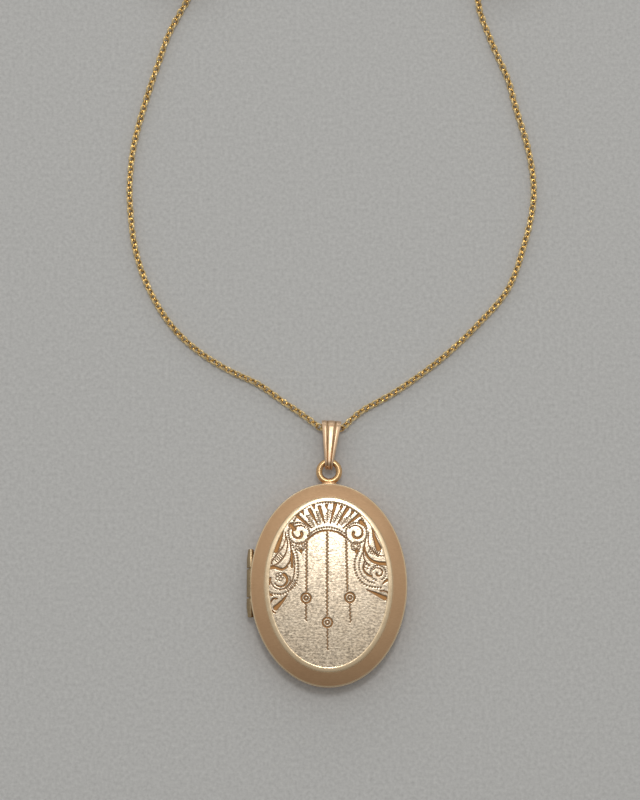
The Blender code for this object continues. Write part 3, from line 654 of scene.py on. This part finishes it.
# %% [markdown]
# ## The engraved panel
# The panel is a low oval dome, brushed across and then cut by hand: a fan of rays over two
# volutes, scrolled leaves down both sides, and three wriggle-cut lines ending in small rings. The
# cuts are real furrows. A dense grid follows the oval, and each of its points is lowered by the
# deepest stroke that covers it. The same number is kept on the mesh, so the finish can leave the
# cuts darker, as they are where polish and wear don't reach.

# %% A grid over the oval
PANEL_INSET = 2.80
PANEL_HALF_WIDTH = HALF_WIDTH - PANEL_INSET
PANEL_HALF_HEIGHT = HALF_HEIGHT - PANEL_INSET
PANEL_EDGE = PARTING + 2.49
PANEL_CROWN = FRONT_TOP - PANEL_EDGE
GRID = (330, 244)

v, u = np.meshgrid(np.linspace(-1, 1, GRID[0]), np.linspace(-1, 1, GRID[1]), indexing="ij")
panel_x = PANEL_HALF_WIDTH * u * np.sqrt(1 - v ** 2 / 2)
panel_y = PANEL_HALF_HEIGHT * v * np.sqrt(1 - u ** 2 / 2)
from_middle = (panel_x / PANEL_HALF_WIDTH) ** 2 + (panel_y / PANEL_HALF_HEIGHT) ** 2
panel_z = PANEL_EDGE + PANEL_CROWN * (1 - from_middle)
print("panel grid", GRID, "points", round(2 * PANEL_HALF_WIDTH / GRID[1], 3), "mm apart")

# %% A graver's strokes
cut = np.zeros(GRID)


def stroke(points, wide, deep=0.10, wide_end=None, flat=1.6):
    """Lower the grid along a line whose half width goes from wide to wide_end.

    The distance to each straight piece of the line is |p - a - s(b - a)|, with s the nearest
    share between 0 and 1. The furrow's depth is deep * flat * (1 - distance / half width), and
    never more than deep.
    """
    line = np.array(points, dtype=float)
    widths = np.linspace(wide, wide if wide_end is None else wide_end, len(line))
    low = line.min(axis=0) - widths.max()
    high = line.max(axis=0) + widths.max()
    near = (panel_x > low[0]) & (panel_x < high[0]) & (panel_y > low[1]) & (panel_y < high[1])
    place = np.column_stack((panel_x[near], panel_y[near]))[:, None, :]
    a = line[None, :-1]
    step = line[None, 1:] - a
    long = np.maximum((step ** 2).sum(axis=2), 1e-9)
    s = np.clip(((place - a) * step).sum(axis=2) / long, 0, 1)
    away = np.linalg.norm(place - a - s[..., None] * step, axis=2)
    half = widths[:-1] * (1 - s) + widths[1:] * s
    furrow = deep * np.clip(flat * (1 - away / half), 0, 1).max(axis=1)
    cut[near] = np.maximum(cut[near], furrow)


def punch(point, radius, deep=0.10, flat=1.6):
    """One round mark."""
    stroke([point, np.array(point) + 0.001], radius, deep, flat=flat)


def curve(*points, step=0.12):
    """A smooth line through a few points."""
    return smooth_line(np.array(points, dtype=float), step)


def circle(middle, radius, start=0.0, end=360.0, count=40):
    """Points on an arc, in degrees. A list of radii makes it a spiral."""
    t = np.radians(np.linspace(start, end, count))
    return np.column_stack((middle[0] + radius * np.cos(t), middle[1] + radius * np.sin(t)))


def round_points(middle, radius, count, first=0.0):
    """Even points on a whole circle, from first degrees on."""
    t = np.radians(first + 360 / count * np.arange(count))
    return np.column_stack((middle[0] + radius * np.cos(t), middle[1] + radius * np.sin(t)))


def evenly(line, count):
    """Points at equal distances along a line: count tells how many from the line's length."""
    length = distances(line)[-1]
    return places(line, np.linspace(0, length, count(length)))


def wriggle(line, period=0.54, swing=0.10, wide=0.115, deep=0.075):
    """A wriggle cut: a zig-zag that swings either side of a line, once there and back a period."""
    middle = evenly(line, lambda length: int(round(length / period * 2)) + 1)
    along = np.gradient(middle, axis=0)
    along /= np.linalg.norm(along, axis=1)[:, None]
    side = np.where(np.arange(len(middle)) % 2, swing, -swing)[:, None]
    stroke(middle + np.column_stack((-along[:, 1], along[:, 0])) * side, wide, deep)


def beads(line, spacing=0.41, radius=0.165, deep=0.10):
    """A row of round punch marks along a line, over a fine guide line."""
    for point in evenly(line, lambda length: max(2, int(round(length / spacing)) + 1)):
        punch(point, radius, deep, flat=1.3)
    stroke(line, 0.08, 0.25 * deep)


def hatch(middle, angle, length, width, count, wide=0.075, deep=0.075):
    """Parallel fine cuts across a patch: length is each cut's, width is the patch's."""
    along = np.array((math.cos(math.radians(angle)), math.sin(math.radians(angle))))
    across = np.array((-along[1], along[0]))
    for share in np.linspace(-0.5, 0.5, count):
        here = np.array(middle) + across * share * width
        stroke([here - along * length / 2, here + along * length / 2], wide, deep)


# %% The fan of rays
RAY_OUTER = [(-4.60, 10.05), (-2.80, 10.95), (-1.35, 11.35),
             (1.00, 11.75), (2.80, 11.15), (4.70, 10.35)]
RAY_INNER = [(-2.45, 8.20), (-1.55, 8.70), (-0.60, 8.98),
             (0.25, 8.98), (1.25, 8.70), (2.15, 8.20)]
for outer, inner in zip(RAY_OUTER, RAY_INNER):
    stroke([outer, inner], 0.28, 0.11, wide_end=0.07, flat=2.5)
for tip in [(-3.90, 10.70), (-2.22, 11.55), (-0.30, 11.60), (1.90, 11.40), (3.55, 10.65)]:
    toward = np.array(tip) * (0.935, 0.955)
    stroke([tip, toward], 0.26, 0.10, wide_end=0.04, flat=2.5)
for outer_a, outer_b, inner_a, inner_b in zip(RAY_OUTER, RAY_OUTER[1:], RAY_INNER, RAY_INNER[1:]):
    start = (np.array(outer_a) + outer_b) / 2
    end = (np.array(inner_a) + inner_b) / 2
    run = end - start
    fan_angle = math.degrees(math.atan2(run[1], run[0]))
    hatch(start + run * 0.62, fan_angle + 62, 0.66, 1.80, 7, wide=0.065, deep=0.045)
    stroke([start + run * 0.22, end - run * 0.08], 0.075, 0.07, wide_end=0.05)

# %% The beaded line round the fan, and the arch under it
beads(curve((-5.55, 8.20), (-4.95, 9.55), (-3.90, 10.95), (-2.30, 11.85), (-0.20, 12.00),
            (1.95, 11.75), (3.75, 10.90), (4.95, 9.65), (5.60, 8.20)))
beads(curve((-3.05, 7.05), (-1.75, 8.00), (-0.20, 8.35), (1.40, 8.00), (2.60, 7.25)),
      spacing=0.40, radius=0.15)
stroke(curve((-3.10, 6.55), (-1.75, 7.55), (-0.20, 7.90), (1.35, 7.60), (2.62, 6.75)), 0.15, 0.11)
stroke([(-5.60, 8.75), (-5.00, 8.05)], 0.30, 0.10, flat=2.5)
hatch((-5.45, 8.50), 45, 0.6, 0.8, 5)
stroke([(4.75, 9.15), (5.55, 8.50)], 0.42, 0.11, wide_end=0.12, flat=2.5)

# %% The volutes and the rosettes
for middle, start, end in (((-4.40, 7.45), -18, 375), ((4.10, 7.45), 198, -195)):
    beads(circle(middle, 1.56, count=60), spacing=0.33, radius=0.15)
    curl = circle(middle, np.linspace(1.42, 0.42, 60), start, end, 60)
    stroke(curl[8:], 0.06, 0.11, wide_end=0.24, flat=2.2)
    punch(curl[-1], 0.26, 0.11)
for middle in ((-4.15, 5.50), (4.00, 5.50)):
    for petal in round_points(middle, 0.36, 6):
        punch(petal, 0.17, 0.09, flat=1.2)
    stroke(circle(middle, 0.66, count=30), 0.075, 0.07)
    stroke([(middle[0] + 0.1, middle[1] - 0.62), (middle[0] + 0.12, middle[1] - 1.05)], 0.30, 0.10,
           wide_end=0.05, flat=2.5)

# %% The three wriggle-cut lines with their rings
PENDANTS = (
    ([(-3.25, 6.40), (-3.24, -1.20)], (-3.30, -2.07), [(-3.30, -2.95), (-3.30, -5.36)]),
    ([(-0.20, 7.75), (-0.22, -4.70)], (-0.18, -5.62), [(-0.18, -6.50), (-0.16, -9.60)]),
    ([(2.60, 6.40), (2.76, -1.10)], (3.12, -1.98), [(3.10, -2.85), (3.22, -5.60)]))
for long, middle, tail in PENDANTS:
    wriggle(np.array(long))
    wriggle(np.array(tail), wide=0.10)
    stroke(circle(middle, 0.70), 0.14, 0.10, flat=2.2)
    stroke(circle(middle, 0.28, count=24), 0.12, 0.09)

# %% The left scroll
stroke([(-6.62, 8.15), (-7.05, 6.70), (-7.75, 4.95)], 0.05, 0.11, wide_end=0.46, flat=2.5)
stroke(curve((-6.40, 7.60), (-6.35, 6.60), (-6.70, 5.50), (-7.55, 4.45), (-8.35, 3.30),
             (-8.30, 2.75)), 0.08, 0.09)
stroke(curve((-6.20, 6.90), (-6.05, 5.60), (-6.45, 4.20), (-7.40, 3.05), (-8.20, 2.70)), 0.09, 0.09)
hatch((-7.35, 3.80), 135, 0.85, 1.15, 5, wide=0.08)
stroke(curve((-5.80, 6.60), (-5.55, 5.20), (-5.60, 3.60), (-6.20, 2.55)), 0.08, 0.10, wide_end=0.13)
stroke([(-5.38, 4.90), (-5.37, 2.50)], 0.11, 0.10, wide_end=0.20, flat=2.2)
stroke(curve((-8.85, 2.35), (-7.90, 2.45), (-6.90, 2.15), (-6.10, 2.50)), 0.34, 0.10,
       wide_end=0.16, flat=2.3)
beads(curve((-5.55, 6.05), (-4.90, 4.90), (-4.58, 3.70), (-4.48, 1.95), (-4.70, 0.35),
            (-5.60, -0.85), (-6.90, -1.50), (-8.20, -1.40), (-9.00, -0.95)))
stroke(curve((-5.15, 4.40), (-5.00, 2.40), (-5.25, 0.70), (-6.10, -0.45), (-7.15, -0.90)),
       0.09, 0.08)
hatch((-5.45, -0.25), 128, 0.75, 1.6, 7, wide=0.07)

# %% The small flower and the foot of the left scroll
for petal in round_points((-7.20, 1.05), 0.40, 5):
    stroke(circle(petal, 0.24, count=16), 0.055, 0.06)
stroke(circle((-7.05, 0.60), 0.98, -150, 60, 30), 0.06, 0.10, wide_end=0.26, flat=2.2)
stroke(circle((-7.05, 0.60), 1.42, -170, 20, 34), 0.08, 0.08)
stroke([(-8.55, 0.85), (-8.70, -0.10)], 0.20, 0.09, wide_end=0.08)
stroke([(-8.90, -1.35), (-8.15, -1.75)], 0.26, 0.10, wide_end=0.08, flat=2.3)
stroke([(-5.95, -1.45), (-6.80, -2.55), (-7.75, -3.50)], 0.05, 0.11, wide_end=0.44, flat=2.5)
stroke(curve((-7.55, -2.15), (-8.15, -2.20), (-8.60, -3.05), (-8.30, -3.85), (-7.80, -4.25)),
       0.12, 0.11)

# %% The right scroll
stroke([(6.38, 8.60), (6.75, 6.90), (7.35, 5.25)], 0.05, 0.11, wide_end=0.48, flat=2.5)
stroke(curve((5.95, 7.60), (5.85, 6.30), (6.15, 5.25), (6.95, 4.45), (8.00, 4.10), (8.55, 4.55)),
       0.08, 0.09)
hatch((6.75, 4.70), 65, 0.85, 1.5, 6, wide=0.08)
stroke(curve((5.30, 5.60), (5.45, 4.60), (6.15, 3.60), (7.20, 3.10), (8.70, 2.95)), 0.12, 0.11,
       wide_end=0.34, flat=2.3)
stroke(curve((5.55, 6.90), (5.30, 5.80), (5.10, 4.70), (5.35, 3.40), (6.05, 2.70)), 0.09, 0.09)
beads(curve((4.45, 4.80), (3.95, 3.70), (3.82, 2.55), (4.12, 1.30), (4.65, 0.50), (5.30, -0.10),
            (6.40, -0.45), (7.65, -0.55)))
beads(curve((4.95, 4.40), (4.55, 3.30), (4.50, 2.20), (5.00, 1.10), (5.80, 0.40), (6.70, 0.10)),
      spacing=0.34, radius=0.13)
stroke(curve((5.25, 3.20), (5.15, 2.10), (5.75, 1.35), (6.30, 1.20)), 0.08, 0.10, wide_end=0.20)
for petal in round_points((5.62, 2.55), 0.30, 4, first=20):
    punch(petal, 0.16, 0.09, flat=1.2)

# %% The small volute and the foot of the right scroll
beads(circle((7.30, 1.60), 1.12, -60, 250, 44), spacing=0.34, radius=0.14)
stroke(circle((7.30, 1.60), np.linspace(0.90, 0.25, 40), 150, -170), 0.07, 0.10, wide_end=0.16)
stroke([(8.60, 0.60), (7.95, 0.05)], 0.24, 0.10, wide_end=0.08, flat=2.3)
stroke([(5.55, -0.80), (6.90, -1.40), (8.25, -2.05)], 0.06, 0.11, wide_end=0.42, flat=2.5)
stroke(curve((7.60, -1.00), (8.45, -1.10), (8.90, -1.75), (8.60, -2.45)), 0.11, 0.10)
print(f"deepest cut {cut.max():.3f} mm, cut share {(cut > 0.03).mean():.2f}")


# %% [markdown]
# ### The panel's finish
# The panel was rubbed back and forth across its width. Its strokes are long across and very narrow
# up and down, so the noise is stretched the same way. Fine light and dark grains in its colour are
# painted glints. The cuts show the brass under the skin and the dirt of years, a matt coppery
# brown.

# %% Brushed and engraved
PANEL_GOLD = worked_metal("rolled_gold_cross_brushed", "#FFF0DA", "#EBD1B0", 0.25,
                          (1.5, 0.10, 1.0), cloud=3.0, depth=0.012, spread=0.06)
# The fine light and dark grains in the panel's colour are painted glints.
darken_cuts_and_shade(painted_glint_speckle(PANEL_GOLD, 0.24, 0.42, 1.14), "#B08152", 0.012, 0.08)

# %% Build the panel
top = np.stack((panel_x, panel_y, panel_z - cut), axis=-1).reshape(-1, 3)
index = np.arange(len(top)).reshape(GRID)
rim = np.concatenate((index[0], index[1:, -1], index[-1, -2::-1], index[-2:0:-1, 0]))
under = top[rim] * (1, 1, 0) + (0, 0, PANEL_EDGE - SHEET)
lower = len(top) + np.arange(len(rim))
walls = np.stack((np.roll(rim, -1), rim, lower, np.roll(lower, -1)), axis=-1)
faces = cells(index).tolist() + walls.tolist() + [lower[::-1].tolist()]
panel = solid("front_panel", np.vstack((top, under)), faces, "front")
keep_cuts_and_shade(panel, np.concatenate((cut.ravel(), np.zeros(len(rim)))))
panel.data.materials.append(PANEL_GOLD)
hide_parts("front_cover")
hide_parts("front_cover")

# %% [markdown]
# ## Inside the case
# Each half holds a rim, an oval frame, a clear window and a card. They are rings and plates of the
# same inset oval, so the same profile function makes them all, with finer steps than the model's.

# %% Rims, frames, windows and cards
FIT_GAP = 0.05
RIM_OUTER = SHEET + FIT_GAP
RIM_INNER = RIM_OUTER + 0.60
LEDGE = RIM_INNER + 0.70        # inset of the ledge's inner edge
LEDGE_THICKNESS = 0.18
LIP_OUTER = RIM_OUTER + 0.20    # the snap lip stands on the back rim
LIP_INNER = LIP_OUTER + 0.30
LIP_HEIGHT = 0.25
SOFT = 0.04                     # broken edges
FRAME_OUTER = RIM_INNER + FIT_GAP
FRAME_INNER = FRAME_OUTER + 0.85
FRAME_ROUND = (0.25, 0.20)      # how far in and how deep the frame's inner edge is rounded
FRAME_CREASE = 0.05             # a row this close to the rounding keeps the face beside it flat
PANE_EDGE = 0.03


def depths(node, side):
    """Least and greatest depth of a node from the parting plane, in mm."""
    low, high = (corner[2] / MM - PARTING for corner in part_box(node))
    return sorted((side * low, side * high))


def fit_out(half, side):
    """The inside pieces of one half."""
    shallow, deep = depths(half + "_card", side)
    shelf = deep + FIT_GAP
    ledge = [(RIM_INNER, shelf), (LEDGE - SOFT, shelf), (LEDGE, shelf + SOFT),
             (LEDGE, shelf + LEDGE_THICKNESS), (RIM_INNER, shelf + LEDGE_THICKNESS),
             (RIM_OUTER, shelf - FIT_GAP)]
    if side < 0:
        mouth = [(RIM_OUTER, GAP), (LIP_OUTER, GAP), (LIP_OUTER, SOFT - LIP_HEIGHT),
                 (LIP_OUTER + SOFT, -LIP_HEIGHT), (LIP_INNER - SOFT, -LIP_HEIGHT),
                 (LIP_INNER, SOFT - LIP_HEIGHT), (LIP_INNER, GAP), (RIM_INNER, GAP)]
    else:
        mouth_depth = LIP_HEIGHT + FIT_GAP
        mouth = [(RIM_OUTER, mouth_depth), (RIM_INNER - FIT_GAP, mouth_depth),
                 (RIM_INNER, mouth_depth + FIT_GAP)]
    rim_piece = skin(half + "_rim_ring", oval_rows(mouth + ledge, side), along=True, body=half)
    seat_hinge(rim_piece, side)
    start, end = depths(half + "_frame", side)
    frame_rows = (
        [(FRAME_OUTER, start), (FRAME_INNER - FRAME_ROUND[0] - FRAME_CREASE, start)]
        + bend((FRAME_INNER - FRAME_ROUND[0], start), (FRAME_INNER, start),
               (FRAME_INNER, start + FRAME_ROUND[1]), 6)
        + [(FRAME_INNER, end), (FRAME_OUTER, end)])
    ring = skin(half + "_picture_frame", oval_rows(frame_rows, side), along=True, body=half)
    start, end = depths(half + "_window", side)
    pane_rows = [(FRAME_OUTER + PANE_EDGE, start), (FRAME_OUTER, start + PANE_EDGE),
                 (FRAME_OUTER, end)]
    window = skin(half + "_clear_window", oval_rows(pane_rows, side), body=half)
    card_rows = [(FRAME_OUTER, shallow), (FRAME_OUTER, deep)]
    card = skin(half + "_blank_card", oval_rows(card_rows, side), body=half)
    for piece, node, finish, slot in (
            (rim_piece, "_rim", POLISHED_GOLD, "polished"),
            (ring, "_frame", POLISHED_GOLD, "polished"),
            (window, "_window", CLEAR, "window"), (card, "_card", CARD_PAPER, "card")):
        piece.data.materials.append(finish)
        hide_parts(half + node)


# %% Clear acetate
CLEAR, clear_tree, clear_shader = new_finish("clear_acetate_sheet")
clear_shader.inputs["Base Color"].default_value = linear("#F4F6F5")
clear_shader.inputs["IOR"].default_value = 1.47
clear_shader.inputs["Alpha"].default_value = 0.22
clear_here = add(clear_tree, "ShaderNodeTexCoord").outputs["Object"]
haze = add(clear_tree, "ShaderNodeTexNoise", None, {
    "Vector": clear_here, "Scale": 1 / (3.0 * MM), "Detail": 4.0})
haze_range = add(clear_tree, "ShaderNodeMapRange", None, {
    "Value": haze.outputs["Fac"], "To Min": 0.02, "To Max": 0.12})
clear_tree.links.new(haze_range.outputs["Result"], clear_shader.inputs["Roughness"])
fit_out("back", -1)
fit_out("front", 1)

# %% [markdown]
# ## Hinge, ring and bail
# The hinge is three tubes on a wire, its colour painted a dark greenish grey for the dark
# reflection along its barrel, with its two outer ends filed slim. The top ring is wire, held by a
# lump of solder. The bail is a tapered strip with flutes pressed in, folded through the ring and
# over the chain.

# %% Tubes and pin
BORE = 0.34
PIN_RADIUS = 0.30
PIN_CHAMFER = (0.12, 0.08)
END_PLAY = 0.06          # how much shorter than its place each tube's end is
FILED = (0.20, 1.4)      # how much narrower the hinge's two ends are, and over what length
BROKEN_EDGE = (0.05, 0.05)
for knuckle, (start, end), owner in zip(KNUCKLES, SPANS, OWNERS):
    start, end = start + END_PLAY, end - END_PLAY
    first = FILED if knuckle == KNUCKLES[0] else BROKEN_EDGE
    last = FILED if knuckle == KNUCKLES[-1] else BROKEN_EDGE
    tube_rows = [
        (BORE, start), (KNUCKLE_RADIUS - first[0], start), (KNUCKLE_RADIUS, start + first[1]),
        (KNUCKLE_RADIUS, end - last[1]), (KNUCKLE_RADIUS - last[0], end), (BORE, end)]
    tube = skin(knuckle + "_tube", lathe(tube_rows, 64, HINGE_MIDDLE), along=True,
                body="front" if owner > 0 else "back")
    tube.data.materials.append(HINGE_GOLD)
    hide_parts(knuckle)
pin_start, pin_end = SPANS[0][0], SPANS[-1][1]
pin_rows = [(PIN_RADIUS - PIN_CHAMFER[0], pin_start), (PIN_RADIUS, pin_start + PIN_CHAMFER[1]),
            (PIN_RADIUS, pin_end - PIN_CHAMFER[1]), (PIN_RADIUS - PIN_CHAMFER[0], pin_end)]
pin = skin("hinge_pin_wire", lathe(pin_rows, 48, HINGE_MIDDLE), body="back")
pin.data.materials.append(HINGE_GOLD)
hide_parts("hinge_pin")


# %% The top ring
RING_MIDDLE, RING_HALF = box_middle("top_ring")
RING_WIRE = 0.46        # radius


def torus(middle, radius, wire, around=96, across=28):
    """A wire ring: ((R + r cos p) cos t, (R + r cos p) sin t, r sin p) about its middle."""
    t = whole_turn(around)[:, None]
    p = whole_turn(across)[None, :]
    reach = radius + wire * np.cos(p)
    return np.stack((middle[0] + reach * np.cos(t), middle[1] + reach * np.sin(t),
                     middle[2] + wire * np.sin(p) + 0 * t), axis=-1)


top_ring = skin("top_ring_wire", torus(RING_MIDDLE, RING_HALF[0] - RING_WIRE, RING_WIRE),
                along=True, body="back")
top_ring.data.materials.append(POLISHED_GOLD)
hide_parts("top_ring")

# %% The solder at the ring's foot
# A lump is a ball whose directions (cos r cos t, cos r sin t, sin r) are raised to a power.
seat_middle, seat_half = box_middle("ring_seat")
SOLDER_POWER = 0.55     # 1 is an ellipsoid, 0 a box
POLE = 0.02             # the end rows stop just short of the poles
rise = np.linspace(-math.pi / 2 + POLE, math.pi / 2 - POLE, 24)[:, None]
turn = whole_turn(48)[None, :]
lump = np.stack((np.cos(rise) * np.cos(turn), np.cos(rise) * np.sin(turn),
                 np.sin(rise) + 0 * turn), axis=-1)
lump = seat_middle + seat_half * np.sign(lump) * np.abs(lump) ** SOLDER_POWER
ring_solder = skin("ring_solder", lump, body="back")
ring_solder.data.materials.append(SATIN_ROSE)
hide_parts("ring_seat")

# %% The bail's loop
BAIL_SHEET = 0.35
BAIL_LENGTH = 5.23
LOWER_BORE = 0.72
UPPER_BORE = 0.90
BAIL_SLACK = 0.17       # its lower bend below the ring wire's middle
BAIL_LIFT = 0.05        # its upper bend above the table
BAIL_LEAN = math.radians(3.6)
TOP_POINTS = 32
BOTTOM_POINTS = 28
LEAF_POINTS = 24
BAIL_LOWER = Vector(RING_MIDDLE) + Vector((0, RING_HALF[0] - RING_WIRE - BAIL_SLACK, 0))
BAIL_PITCH = math.asin((RING_MIDDLE[2] - UPPER_BORE - BAIL_SHEET - BAIL_LIFT) / BAIL_LENGTH)
lower = LOWER_BORE + BAIL_SHEET / 2
upper = UPPER_BORE + BAIL_SHEET / 2
spread = math.asin((upper - lower) / BAIL_LENGTH)
top_turn = np.linspace(math.pi / 2 + spread, -math.pi / 2 - spread, TOP_POINTS)
bottom_turn = np.linspace(-math.pi / 2 - spread, -1.5 * math.pi + spread, BOTTOM_POINTS)
bail_turn = np.concatenate((top_turn, bottom_turn))
at_top = np.arange(len(bail_turn)) < len(top_turn)
bail_normal = np.column_stack((np.cos(bail_turn), np.sin(bail_turn)))
bail_line = bail_normal * np.where(at_top, upper, lower)[:, None]
bail_line[:, 0] += np.where(at_top, BAIL_LENGTH, 0.0)
share = np.linspace(0, 1, LEAF_POINTS + 2)[1:-1, None]
top_line, bottom_line = np.split(bail_line, [TOP_POINTS])
top_normal, bottom_normal = np.split(bail_normal, [TOP_POINTS])
under_leaf = top_line[-1] * (1 - share) + bottom_line[0] * share
over_leaf = bottom_line[-1] * (1 - share) + top_line[0] * share
bail_line = np.vstack((top_line, under_leaf, bottom_line, over_leaf))
bail_normal = np.vstack((top_normal, np.repeat(top_normal[-1:], LEAF_POINTS, 0),
                         bottom_normal, np.repeat(bottom_normal[-1:], LEAF_POINTS, 0)))

# %% The bail's flutes
# The face is a flat strip with a Gaussian groove, depth e^-((|x| - place) / width)^2, at each side
# of its middle, edges that fall away, and a slow bulge along its length.
BAIL_TOP_WIDTH = 3.00
BAIL_BOTTOM_WIDTH = 1.10
GROOVE_DEPTH = 0.13
GROOVE_PLACE = 0.42     # share of the half width
GROOVE_WIDTH = 0.11
EDGE_FALL = 0.06
RIB_FALL = 0.05
BULGE = 0.24
UNDER_SHARE = 0.90      # how wide the hidden leaf is
FADE = (1.6, 0.3)       # slope and start of the fading of the flutes as the strip turns under
across = np.linspace(-1, 1, 49)
aside = np.abs(across)
reach = bail_line[:, 0]
taper = (reach - reach.min()) / (reach.max() - reach.min())
half_width = (BAIL_BOTTOM_WIDTH + (BAIL_TOP_WIDTH - BAIL_BOTTOM_WIDTH) * taper) / 2
groove = GROOVE_DEPTH * np.exp(-((aside - GROOVE_PLACE) / GROOVE_WIDTH) ** 2)
past_groove = np.clip((aside - GROOVE_PLACE) / (1 - GROOVE_PLACE), 0, 1)
crown = EDGE_FALL * aside ** 4 + RIB_FALL * past_groove ** 2
showing = np.clip(bail_normal[:, 1] * FADE[0] + FADE[1], 0, 1)[:, None]
bulge = BULGE * (1 - (2 * taper - 1) ** 2)[:, None] * showing
flute = (groove + crown)[None, :] * showing - bulge
half_width = half_width * (UNDER_SHARE + (1 - UNDER_SHARE) * showing[:, 0])
outer = bail_line[:, None, :] + bail_normal[:, None, :] * (BAIL_SHEET / 2 - flute[..., None])
inner = bail_line[:, None, :] - bail_normal[:, None, :] * (BAIL_SHEET / 2 - bulge[..., None])
inner = np.repeat(inner, 2, axis=1)
outer_x = half_width[:, None] * across[None, :]
inner_x = half_width[:, None] * np.array((1.0, -1.0))[None, :]
local = np.concatenate((
    np.stack((outer_x, outer[..., 0], outer[..., 1]), axis=-1),
    np.stack((inner_x, inner[..., 0], inner[..., 1]), axis=-1)), axis=1)
lie = np.array(Matrix.Rotation(-BAIL_LEAN, 3, "Z") @ Matrix.Rotation(-BAIL_PITCH, 3, "X"))
bail = skin("fluted_bail", local @ lie.T + np.array(BAIL_LOWER), along=True, body="bail")
keep_cuts_and_shade(bail, np.pad(groove[None, :] * showing, ((0, 0), (0, 2))).ravel())
BAIL_GOLD = worked_metal("gold_filled_satin_pressed", "#F5D9BB", "#D9B48C", 0.36,
                         (0.12, 0.9, 0.3), cloud=1.5, depth=0.004, spread=0.06)
bail.data.materials.append(darken_cuts_and_shade(BAIL_GOLD, "#B8936A", 0.03, 0.13, 0.36))
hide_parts("bail")
